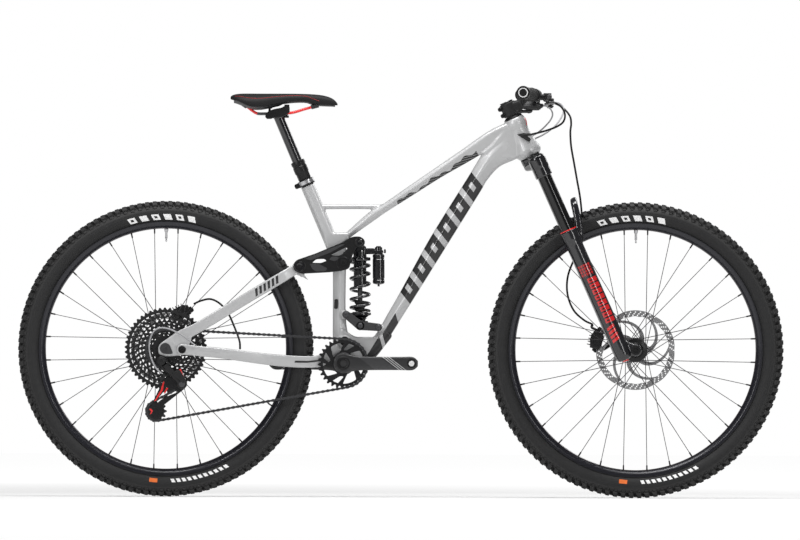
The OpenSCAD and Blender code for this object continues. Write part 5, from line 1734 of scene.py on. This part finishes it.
make_stem()
make_handlebar()
make_grips()
make_levers()
make_blades()
make_pods()
make_paddles()


# ---------- seat post and saddle ----------


def make_post():
    post = turned([[0, -30], [12.9, -30], [12.9, 184], [13.6, 188], [13.6, 192], [0, 192]], SEAT, 48)
    clamp_centre = at(-310.7, 959)
    head_rows = [oval(SEAT((0, 0, 184)), X, Y, 12.6, 12.6, 2, 28),
                 oval(SEAT((1, 0, 190)), X, Y, 17, 16, 2.3, 28), oval(at(-309, 955), X, Y, 24, 21, 3, 28),
                 oval(at(-308, 962), X, Y, 22, 20, 3, 28)]
    cradle = tube([clamp_centre + Y * y for y in (-25.4, -24, 24, 25.4)], [9.4, 10.6, 10.6, 9.4], 32)
    front_ear = block((-287, 0, 967), (15, 26, 24), 4.0)
    rear_ear = block((-331, 0, 953), (15, 24, 14), 4.0)
    fused("seat_post_tube", merged(post, loft(head_rows), cradle, front_ear, rear_ear), "dropper",
          MAT["gloss"], ["dropper_post"], voxel=1.4, smooth=2)
    parts = []
    for side in (RIGHT, LEFT):
        low = sorted((15.5 * side, 28.0 * side))
        jaw = rounded([(-340, 955), (-334, 964), (-318, 970), (-300, 973), (-290, 979), (-281, 976),
                       (-279, 962), (-288, 954), (-300, 950), (-320, 947), (-334, 945), (-341, 949)], 4)
        parts.append(plate(jaw, [], *low, 1.2))
    for x, z in ((-288, 948), (-331, 945)):
        parts.append(tube([at(x, z), at(x + 1.6, z + 32)], 3.0, 20))
        parts.append(turned([[0, 0], [5.8, 0], [6.4, 1], [6.4, 6], [5.2, 7.2], [0, 7.2]],
                            Axes(at(x + 1.4, z + 26), X, Z), 24))
        parts.append(turned([[0, 0], [6, 0], [6.6, 1], [6.6, 5], [5.6, 6], [0, 6]], Axes(at(x, z), X, Z), 24))
    piece("seat_post_clamp", merged(*parts), "dropper", MAT["black"])


def make_rails():
    rows = curve_through([[-392, 981, 22.0], [-384, 974, 22.0], [-371, 964, 22.0], [-362, 959, 22.0],
                          [-350, 957.8, 22.0], [-315, 958.8, 22.1], [-285, 959.6, 22.2], [-268, 962, 20.6],
                          [-245, 969, 17.2], [-224, 975, 14.0], [-214, 979, 12.4]], 6)
    rail = tube(rows[:, [0, 2, 1]], 3.4, 20)
    piece("saddle_rail_wires", both_sides(rail), "dropper", MAT["red"], ["saddle_rails"])
    marks = tube(rows[19:30, [0, 2, 1]], 3.55, 20)
    piece("saddle_rail_scales", both_sides(marks), "dropper", MAT["grey"])


SADDLE_TOP = [(-428, 1000.0), (-422, 1005.0), (-410, 1008.0), (-390, 1009.4), (-350, 1009.6), (-300, 1009.4),
              (-260, 1009.0), (-222, 1007.8), (-196, 1005.0), (-176, 999.0), (-165, 991.0), (-159.4, 983.0)]
SADDLE_EDGE = [(-428, 994.0), (-420, 992.0), (-404, 987.0), (-385, 978.0), (-368, 974.6), (-350, 974.8),
               (-330, 978.6), (-300, 985.4), (-270, 989.0), (-240, 989.4), (-222, 984.0), (-204, 981.4),
               (-176, 980.4), (-159.4, 979.6)]
SADDLE_WIDTH = [(-428, 36.0), (-420, 58.0), (-400, 70.0), (-375, 70.5), (-345, 60.0), (-315, 43.0),
                (-285, 31.0), (-250, 24.0), (-215, 21.0), (-190, 19.4), (-176, 16.0), (-165, 12.0),
                (-159.4, 7.0)]


def along_saddle(rows, x):
    rows = curve_through([(*r, 0.0) for r in rows], 8)
    return float(np.interp(x, rows[:, 0], rows[:, 1]))


def saddle_section(x):
    """Half of the cover's cross section at x, from the middle of the top to the lower edge."""
    top = along_saddle(SADDLE_TOP, x)
    edge = along_saddle(SADDLE_EDGE, x)
    half = max(along_saddle(SADDLE_WIDTH, x), 1.0)
    depth = top - edge
    hollow = 2.0 * math.exp(-((x + 345) / 70) ** 2) + 0.8
    rows = []
    for t in np.linspace(0, 1, 13):
        a = t * math.pi / 2
        y = half * math.sin(a) ** (0.92 if t < 0.8 else 1.0)
        z = edge + depth * math.cos(a) ** 0.62
        z -= hollow * max(0.0, 1 - (y / (half * 0.3 + 1)) ** 2)
        rows.append((y, z))
    return rows


def make_saddle():
    rings = []
    for x in np.concatenate([[-427.6, -426, -423], np.linspace(-418, -176, 42),
                             [-171, -167, -163.6, -161.2, -159.6]]):
        half = saddle_section(x)
        under = [(half[-1][0] * k, half[-1][1] - 0.4 + 1.6 * (1 - k)) for k in (0.93, 0.6, 0.3)]
        right = [(x, y, z) for y, z in half + under]
        left = [(x, -y, z) for y, z in (half[1:] + under)][::-1]
        rings.append(np.array(right + left))
    points, faces = loft(rings)
    cover = piece("saddle_pad", (points, faces), "dropper", saddle_leather(), ["saddle_cover"],
                  sharp=50, subdivide=1)

    base = []
    for x in np.linspace(-419, -166, 30):
        half = max(along_saddle(SADDLE_WIDTH, x) - 4.0, 1.5)
        z = along_saddle(SADDLE_EDGE, x)
        sink = 6.0 if x < -300 else 3.5
        base.append(np.array([(x, y, z - k) for y, k in
                              ((half, -1.0), (half * 0.94, 0.8), (half * 0.5, sink), (0, sink * 1.2),
                               (-half * 0.5, sink), (-half * 0.94, 0.8), (-half, -1.0), (0, -3.0))]))
    sockets = []
    for y, x, z in ((22, -392, 980), (-22, -392, 980)):
        sockets.append(tube([at(x - 3, z + 3, y), at(x + 6, z - 4.5, y)], [7.2, 6.0], 20))
    for y in (12.5, -12.5):
        sockets.append(tube([at(-208, 980.5, y), at(-226, 974.4, y * 1.1)], [6.6, 5.4], 20))
    piece("saddle_base", merged(loft(base), *sockets), "dropper", MAT["plastic"],
          ["saddle_shell"], sharp=40)

    seams = []
    for side in (RIGHT, LEFT):
        line = []
        for x in np.linspace(-416, -206, 60):
            sink = 0.28 + 0.34 * max(0.0, (x + 262) / 56) ** 2 + 0.05 * math.sin((x + 416) / 30)
            rows = np.array(saddle_section(x))
            top, low = rows[0, 1], rows[-1, 1]
            z = top - (top - low) * sink
            order = np.argsort(rows[4:, 1])
            y = float(np.interp(z, rows[4:, 1][order], rows[4:, 0][order]))
            line.append((x, (y + 0.1) * side, z))
        seams.append(tube(line, 0.55, 10))
    piece("saddle_piping", merged(*seams), "dropper", MAT["piping"])


def saddle_leather():
    paint = tinted("saddle_leather", (0.007, 0.007, 0.0075), 0.6, vary=0.14, grain=1.6, depth=0.08,
                   patch=22.0, specular=0.22)
    return paint.material


make_post()
make_rails()
make_saddle()


# ---------- crank and chainring ----------

PITCH = 12.7
COGS = (10, 12, 14, 16, 18, 21, 24, 28, 32, 36, 42, 50)
COG_Y, COG_STEP, CHAIN_Y, RING_Y = -67.8, 3.65, -45.9, -52.0
RING_TEETH, COG_TEETH, PULLEY_TEETH = 30, 24, 12


def pitch_radius(n):
    return PITCH / 2 / math.sin(math.pi / n)


def sprocket(n, tall=3.2, start=0.0, wide=None):
    """Outline of a sprocket with rounded tooth gaps. wide makes every second tooth wider."""
    r = pitch_radius(n)
    step = 360 / n
    out = []
    for i in range(n):
        fat = 1.25 if wide and i % 2 else 1.0
        for k, lift in ((-0.5, -3.7), (-0.37 / fat ** 0.5, -2.9), (-0.27, -0.9), (-0.14 * fat, tall * 0.7),
                        (-0.07 * fat, tall), (0.07 * fat, tall), (0.14 * fat, tall * 0.7), (0.27, -0.9),
                        (0.37 / fat ** 0.5, -2.9)):
            out.append(polar(r + lift, start + step * (i + k)))
    return np.array(out)


def centred(outline, centre):
    return np.asarray(outline, float) + side_view(centre)


def window(r0, r1, a0, a1, twist=0.0, r=2.0):
    """A sector window between two radii, leaning by twist degrees from the inside to the outside."""
    corners = [polar(r0, a0), polar(r0, a1)] + [polar(r1, a1 + twist - (a1 - a0) * k)
                                                for k in (0, 0.33, 0.66, 1)]
    return rounded(corners, r, 3)


def arm_profile():
    """Stations of the right crank arm: distance from the spindle, y, half height and half thickness."""
    return [[-22, 67.6, 12, 4.5], [-14, 67.6, 21, 6.4], [0, 67.8, 24.5, 6.8], [16, 68.4, 22, 6.6],
            [34, 69.4, 18.2, 6.4], [70, 71.6, 17.0, 6.2], [120, 74.8, 16.6, 6.0], [150, 77.0, 16.8, 6.2],
            [168, 78.0, 17.2, 6.5], [178, 78.0, 14.5, 6.3], [186, 78.0, 7.0, 5.2]]


def crank_paint():
    """Carbon black with one paler panel and plain slanted stripes."""
    paint = Paint("crank_satin", 0.38, metal=0.1, coat=0.15)
    tone = paint.mix(paint.noise(25.0, 3.0), (0.011, 0.011, 0.012), (0.017, 0.017, 0.018))
    s = (paint.x - float(BB[0])).math("ABSOLUTE")
    t = paint.z - float(BB[2])
    lean = s + t * 1.3
    panel = lean.within(58.0, 112.0)
    stripes = lean.within(118.0, 140.0) * (lean - 118.0).repeat(7.5).within(0.0, 2.6)
    tone = paint.mix(panel, tone, (0.030, 0.030, 0.032))
    tone = paint.mix(stripes, tone, (0.42, 0.42, 0.42))
    paint.colour(tone)
    fine = paint.noise(0.6, 2.0)
    paint.rough(fine, 0.34, 0.44)
    paint.bump(fine, 0.01, 0.4)
    return paint.material


def make_crank():
    arms = []
    for side, forwards in ((RIGHT, 1), (LEFT, -1)):
        rings = []
        for s, y, h, w in curve_through(arm_profile(), 4):
            centre = BB + np.array([s * forwards, y * side, 0])
            rings.append(oval(centre, Z, Y, h, w, 3.6, 32))
        arms.append(loft(rings))
        hub = tube([BB + Y * side * y for y in (58.3, 59.2, 73.2, 74.4)], [23.5, 24.6, 24.6, 23.4], 48)
        arms.append(hub)
    fused("crank_arms", merged(*arms), "crank", crank_paint(), ["crankset"], voxel=1.5,
          smooth=3)
    parts = [tube([BB - Y * 73, BB + Y * 73], 11.9, 40)]
    for side, forwards in ((RIGHT, 1), (LEFT, -1)):
        axes = across((BB[0], 74.2 * side, BB[2]), side)
        parts.append(turned([[0, -1], [16.8, -1], [16.8, 0.6], [15.6, 1.4], [13.4, 1.4], [12.6, 0.4],
                             [10.4, 0.4], [9.8, 1.0], [8.2, 1.0], [7.6, -0.4], [0, -0.4]], axes, 44))
        pedal = BB + np.array([170.0 * forwards, 0, 0])
        parts.append(turned([[7.0, 71.2], [11.2, 71.2], [11.2, 72.6], [8.2, 72.8], [8.2, 83.2], [11.4, 83.6],
                             [11.4, 84.9], [7.0, 84.9]], across((pedal[0], 0, pedal[2]), side), 40,
                            closed=True))
    piece("crank_spindle_and_caps", merged(*parts), "crank", MAT["black"])
    holes = []
    for side, forwards in ((RIGHT, 1), (LEFT, -1)):
        pedal = BB + np.array([170.0 * forwards, 0, 0])
        holes.append(turned([[0, 71.4], [7.1, 71.4], [7.1, 84.7], [6.9, 85.0], [0, 85.0]],
                            across((pedal[0], 0, pedal[2]), side), 30))
    piece("crank_pedal_threads", merged(*holes), "crank", MAT["pale"])


def make_chainring():
    outline = centred(sprocket(RING_TEETH, 3.4, 3.0, wide=True), BB)
    holes = []
    for i in range(4):
        a = 90 * i + 20
        holes.append(centred(window(28.5, 52.5, a, a + 40, -22, 5.0), BB))
        holes.append(centred(window(33.0, 52.5, a + 56, a + 72, -18, 4.0), BB))
    ring = plate(outline, holes, RING_Y - 0.95, RING_Y + 0.95, 0.3)
    rim = plate(centred(circle((0, 0), 55.6, 90), BB), [centred(circle((0, 0), 51.0, 80), BB)], RING_Y - 2.1,
                RING_Y + 1.2, 0.5)
    carrier = turned([[12.1, -58], [25.6, -58], [26.8, -57], [26.8, -52.6], [29.0, -51.8], [29.0, -50.8],
                      [12.1, -50.4]], across((BB[0], 0, BB[2]), LEFT), 56, closed=True)
    piece("chainring_plate", merged(ring, rim, carrier), "crank", MAT["dark_steel"],
          ["chainring"])


# ---------- cassette ----------


def make_cassette():
    cogs = []
    for i, n in enumerate(COGS):
        y = COG_Y + i * COG_STEP
        outer = pitch_radius(n)
        inner = 15.4 if i < 2 else pitch_radius(COGS[i - 1]) - 7.0
        outline = sprocket(n, 1.9, 7.0 * i)
        root = outer - 4.2
        holes = []
        if i >= 3:
            count = int(round(2 * math.pi * (inner + root) / 2 / (9.0 + i * 0.42)))
            span = 360 / count
            for k in range(count):
                a = span * k + i * 3
                holes.append(window(inner + 1.6, root - (6.6 if i == len(COGS) - 1 else 2.0), a,
                                    a + span * 0.62, span * 0.45, 1.3))
        holes = [centred(h, REAR_AXLE) for h in holes]
        holes.append(centred(circle((0, 0), max(inner, 15.2), 60), REAR_AXLE))
        cogs.append(plate(centred(outline, REAR_AXLE), holes, y - 0.8, y + 0.8, 0.22))
    piece("cassette_cogs", merged(*cogs), "cassette", MAT["cog"], ["cassette"])
    links = []
    for i in range(1, len(COGS) - 1):
        r = pitch_radius(COGS[i]) - 5.6
        y = COG_Y + i * COG_STEP
        count = 6 + i * 2
        for k in range(count):
            centre = polar(r, 360 * k / count + 11 * i)
            p = REAR_AXLE + at(*centre)
            links.append(tube([p + Y * (y + 0.4), p + Y * (y + COG_STEP - 0.4)], 1.5, 8))
    piece("cassette_pins", merged(*links), "cassette", MAT["cog"])
    axes = across((REAR_AXLE[0], 0, REAR_AXLE[2]), LEFT)
    splines = [block((0, 0, 0), (2.4, 3.0, 40), 0.3,
                     Axes(REAR_AXLE + at(*polar(15.0, 24 * k)) + Y * -46,
                          at(*polar(1.0, 24 * k)), Y)) for k in range(15)]
    body = turned([[6.3, -73.8], [8.6, -73.8], [8.9, -73.2], [8.9, -68.4], [14.9, -67.6], [14.9, -25.4],
                   [6.3, -25.4]],
                  axes, 44, closed=True)
    lock = turned([[9.2, -69.8], [14.2, -69.8], [14.6, -69.2], [14.6, -66.8], [9.2, -66.8]], axes, 44,
                  closed=True)
    piece("freehub_drum", merged(body, lock, *splines), "cassette", MAT["dark_steel"], ["freehub"])


# ---------- derailleur ----------

SHIFT_PIVOT = joint_at("derailleur_shift")
SHIFT_AXIS = unit(joint_axis("derailleur_shift"))
LINK_LINE = unit(np.array([CAGE_PIVOT[0] - 6.7, -75.2, CAGE_PIVOT[2] + 7.9]) - SHIFT_PIVOT)
LINK = Axes(SHIFT_PIVOT, LINK_LINE, SHIFT_AXIS)


def make_shift_knuckle():
    """The ears on the hanger that hold the links' pin."""
    ears = [plate(around([(0, 0), (-15, 0)], (5.4, 8.0)), [], low, low + 3.6, 0.8,
                  Axes(SHIFT_PIVOT, LINK_LINE, SHIFT_AXIS)) for low in (-11, 7.4)]
    pin = tube([SHIFT_PIVOT - SHIFT_AXIS * 12, SHIFT_PIVOT + SHIFT_AXIS * 12], 3.0, 24)
    stop = tube([at(-606, 331, -90), at(-600, 322, -88)], [4.0, 3.0], 18)
    piece("hanger_link_ears", merged(*ears, pin, stop), "seatstay", MAT["black_satin"])


def make_derailleur():
    outer = plate(around([(-1, 0), (26, 0), (50, 0)], (6.4, 7.2, 9.0)), [], -6.9, 6.9, 2.2, LINK)
    groove = plate(around([(8, 0), (40, 0)], (2.2, 2.8)), [], 5.4, 8.3, 0.7, LINK)
    knuckle = turned([[0, -81.6], [10.6, -81.6], [12.4, -80], [12.8, -77], [12.8, -66], [11.6, -64.6],
                      [11.6, -60.4], [12.6, -59.2], [12.6, -57.6], [0, -57.6]],
                     across((CAGE_PIVOT[0], 0, CAGE_PIVOT[2]), LEFT), 44)
    cable_arm = plate(rounded([(-570, 306), (-562, 316), (-552, 318), (-538, 296), (-536, 284),
                               (-548, 288)], 4), [],
                      -90, -84.5, 1.4)
    piece("derailleur_links", merged(outer, groove, knuckle, cable_arm), "derailleur_body",
          MAT["black_satin"], ["derailleur_body"])
    dot = turned([[0, -82.6], [7.4, -82.6], [8.0, -82], [8.0, -81.4], [0, -81.4]],
                 across((CAGE_PIVOT[0], 0, CAGE_PIVOT[2]), LEFT), 32)
    piece("derailleur_cap", dot, "derailleur_body", MAT["grey"])
    tag = plate(rounded([(-556, 316), (-549, 321), (-541, 300), (-539, 292), (-546, 298)], 2.0), [], -84.6,
                -83.4, 0.4)
    piece("derailleur_red_tag", tag, "derailleur_body", MAT["red"])


def cage_outline(outer=True):
    up, low, pivot = side_view(UPPER_PULLEY), side_view(LOWER_PULLEY), side_view(CAGE_PIVOT)
    if outer:
        return np.array([*[polar(15, a, up) for a in range(80, 171, 15)],
                         *[polar(17, a, low) for a in range(150, 331, 15)],
                         low + [18, 4], low + [21, 16], pivot + [4, -14],
                         *[polar(12, a, pivot) for a in range(-40, 101, 20)]])
    return np.array([*[polar(13, a, up) for a in range(-20, 201, 20)],
                     up + [-12, -12], low + [-10, 22],
                     *[polar(15, a, low) for a in range(150, 361, 15)], low + [14, 18], up + [10, -16]])


def make_cage():
    up, low, pivot = side_view(UPPER_PULLEY), side_view(LOWER_PULLEY), side_view(CAGE_PIVOT)
    middle = CHAIN_Y
    slots = [rounded([up + [-3, -14], up + [14, -16], pivot + [-10, -20], low + [20, 34], low + [2, 20],
                      low + [-6, 22]], 5),
             rounded([low + [9, -4], low + [11, 4], low + [14, 2], low + [12, -5]], 2)]
    plates = [plate(cage_outline(True), slots[:1], middle - 6.6, middle - 5.0, 0.35),
              plate(cage_outline(False), [rounded([up + [-6, -15], up + [4, -16], low + [8, 20],
                                                   low + [-4, 20]], 4)],
                    middle + 5.0, middle + 6.5, 0.35)]
    for p in (up, low):
        plates.append(turned([[0, middle - 7.8], [4.6, middle - 7.8], [4.6, middle - 6.4],
                              [3.0, middle - 6.4], [3.0, middle + 7.4], [0, middle + 7.4]],
                             across((p[0], 0, p[1]), LEFT), 24))
    plates.append(tube([at(-588, 247, middle - 5.5), at(-588, 247, middle + 5.5)], 2.6, 14))
    plates.append(turned([[0, -57.2], [7, -57.2], [7, -52], [0, -52]],
                         across((pivot[0], 0, pivot[1]), LEFT), 30))
    piece("derailleur_cage_plates", merged(*plates), "derailleur_cage", MAT["dark_steel"],
          ["derailleur_cage"])
    reds = [rounded([up + [-14, 1], up + [-10, 4], up + [-14, -20], low + [0, 26], low + [-5, 24],
                     up + [-19, -18]], 2.5),
            rounded([up + [-5, -12], up + [0, -13], up + [-8, -27], up + [-12, -27]], 2.0),
            rounded([low + [-17.5, 4], low + [-13, 7], low + [-7, 1], low + [-12, -7], low + [-15, -9],
                     low + [-12, 0]], 2.0)]
    strips = [plate(r, [], middle - 7.0, middle - 6.2, 0.3) for r in reds]
    piece("derailleur_red_strips", merged(*strips), "derailleur_cage", MAT["red"])


def make_pulleys():
    for name, centre, body in (("upper_pulley", UPPER_PULLEY, "upper_pulley"),
                               ("lower_pulley", LOWER_PULLEY, "lower_pulley")):
        outline = centred(sprocket(PULLEY_TEETH, 2.8, 0.0, wide=True), centre)
        holes = [centred(circle(polar(13.5, 60 * k), 3.0, 14), centre) for k in range(6)]
        holes.append(centred(circle((0, 0), 3.06, 16), centre))
        wheel = plate(outline, holes, CHAIN_Y - 1.0, CHAIN_Y + 1.0, 0.3)
        hub = turned([[3.1, CHAIN_Y - 3.6], [7.4, CHAIN_Y - 3.6], [8.0, CHAIN_Y - 3], [8.0, CHAIN_Y + 3],
                      [7.4, CHAIN_Y + 3.6], [3.1, CHAIN_Y + 3.6]], across((centre[0], 0, centre[2]), LEFT),
                     28, closed=True)
        piece(f"{name}_wheel", merged(wheel, hub), body, MAT["plastic"], [name])


# ---------- chain ----------


def chain_path():
    """The chain's middle line in the side view, as [x, z] points round the ring, the two pulleys
    and the cog that it lies on. A radius is negative where the wheel is on the right."""
    wheels = [(side_view(BB), -pitch_radius(RING_TEETH)),
              (side_view(LOWER_PULLEY), -pitch_radius(PULLEY_TEETH)),
              (side_view(UPPER_PULLEY), pitch_radius(PULLEY_TEETH)),
              (side_view(REAR_AXLE), -pitch_radius(COG_TEETH))]

    def run_angle(a, b):
        d = b[0] - a[0]
        return math.atan2(d[1], d[0]) - math.asin((b[1] - a[1]) / np.linalg.norm(d))

    points = []
    for i, (centre, r) in enumerate(wheels):
        t0 = run_angle(wheels[i - 1], (centre, r))
        t1 = run_angle((centre, r), wheels[(i + 1) % 4])
        if r < 0 and t1 > t0:
            t1 -= 2 * math.pi
        if r > 0 and t1 < t0:
            t1 += 2 * math.pi
        for t in np.linspace(t0, t1, 41):
            points.append(centre - r * np.array([-math.sin(t), math.cos(t)]))
    points.append(points[0])
    return np.array(points)


def chain_y(x):
    """The chain runs at a slant from the ring to its cog."""
    return RING_Y + (RING_Y - CHAIN_Y) * (x + 110) / 500


def link_outline(a, b, waist, r):
    """A figure of eight round two pins."""
    d = unit(b - a)
    n = np.array([-d[1], d[0]])
    start = math.degrees(math.atan2(d[1], d[0]))
    first = [polar(r, start + k, a) for k in range(60, 301, 40)]
    second = [polar(r, start + k, b) for k in range(-120, 121, 40)]
    middle = (a + b) / 2
    return [*first, middle - n * waist, *second, middle + n * waist]


def make_chain():
    path = chain_path()
    lengths = np.concatenate([[0], np.cumsum(np.linalg.norm(np.diff(path, axis=0), axis=1))])
    links = 2 * round(lengths[-1] / PITCH / 2)
    stops = np.linspace(0, lengths[-1], links + 1)
    pins = np.stack([np.interp(stops, lengths, path[:, 0]), np.interp(stops, lengths, path[:, 1])], 1)
    front, rear = [], []
    for i in range(links):
        a, b = pins[i], pins[i + 1]
        group = front if (a[0] + b[0]) / 2 > -400 else rear
        ya, yb = chain_y(a[0]), chain_y(b[0])
        near = 2.05 if i % 2 else 1.25
        ring = link_outline(a, b, 2.3, 3.7 if i % 2 else 3.9)
        for inner, outer in ((near, near + 0.75), (-near - 0.75, -near)):
            layers = []
            for depth in (inner, outer):
                rows = []
                for p in ring:
                    share = np.clip((p - a) @ (b - a) / PITCH ** 2, 0, 1)
                    rows.append([p[0], ya + (yb - ya) * share + depth, p[1]])
                layers.append(np.array(rows))
            group.append(loft(layers))
        group.append(tube([at(*a, ya - 3.1), at(*a, ya + 3.1)], 1.7, 8))
        group.append(tube([at(*a, ya - 1.2), at(*a, ya + 1.2)], 3.6, 12))
    for name, group, bodies, start, end in (
            ("chain_front_links", front, ("root", "chainstay"), -143.0, -210.0),
            ("chain_rear_links", rear, ("chainstay", "seatstay"), -430.0, -560.0)):
        replaced = ["chain"] if name == "chain_front_links" else []
        obj = piece(name, merged(*group), None, MAT["chain"], replaced, sharp=35)
        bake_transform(obj)


make_crank()
make_chainring()
make_cassette()
make_shift_knuckle()
make_derailleur()
make_cage()
make_pulleys()
make_chain()


# ---------- hoses and housings ----------

HOSES = {
    # name: radius, points, the two bodies at its ends, and a start and an end point along it
    "front_brake_hose": (2.5, [
        (376, 164, 990), (392, 150, 984), (408, 136, 973), (422, 124, 955), (425, 116, 936), (423, 108, 915),
        (425, 100, 880), (432, 94, 840), (440, 90, 795), (448, 89, 750), (452, 90, 705), (450, 92, 655),
        (436, 93, 605), (418, 93, 555), (417, 92, 510), (432, 88, 470), (458, 80, 445), (480, 68, 434),
    ], ("steering", "fork_lowers"), (425, 104, 900), (424, 90, 490)),
    "rear_brake_hose_front": (2.5, [
        (374, -164, 990), (390, -150, 983), (402, -130, 972), (408, -108, 956), (404, -86, 940),
        (390, -66, 929), (368, -48, 920), (344, -37, 913), (322, -33, 908),
    ], ("root", "steering"), (340, -36, 912), (402, -130, 972)),
    "rear_brake_hose_back": (2.5, [
        (-402, 61, 369), (-404, 66, 391), (-418, 76, 428), (-432, 82, 458), (-452, 84, 482), (-476, 82, 494),
        (-500, 76, 490), (-518, 68, 482),
    ], ("chainstay", "seatstay"), (-404, 66, 391), (-500, 76, 490)),
    "shift_housing_front": (2.0, [
        (352, -160, 980), (364, -146, 977), (374, -120, 968), (377, -90, 956), (372, -50, 944), (364, 0, 934),
        (352, 24, 922), (336, 36, 910), (318, 33, 904),
    ], ("root", "steering"), (336, 36, 910), (374, -120, 968)),
    "dropper_housing_front": (2.0, [
        (352, 166, 980), (368, 152, 985), (388, 132, 989), (402, 112, 982), (406, 92, 968), (398, 72, 948),
        (382, 54, 928), (358, 42, 910), (330, 33, 896),
    ], ("root", "steering"), (350, 40, 906), (388, 132, 989)),
    "shift_housing_back": (2.0, [
        (-515, -92, 380), (-536, -95, 397), (-557, -97, 410), (-580, -98, 420), (-600, -99, 422),
        (-616, -100, 414), (-625, -100, 396), (-628, -100, 374), (-624, -100, 350), (-612, -99, 324),
        (-597, -96, 308),
    ], ("chainstay", "seatstay"), (-520, -92, 384), (-570, -98, 416)),
}


def make_hoses():
    for name, (radius, points, bodies, start, end) in HOSES.items():
        path = curve_through(points, 6)
        brake = "brake" in name
        replaced = {"front_brake_hose": ["brake_hoses"], "shift_housing_front": ["control_housings"]}
        hose = piece(name, tube(path, radius, 16), None,
                     MAT["hose" if brake else "housing"], replaced.get(name, []))
        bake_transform(hose)


make_hoses()
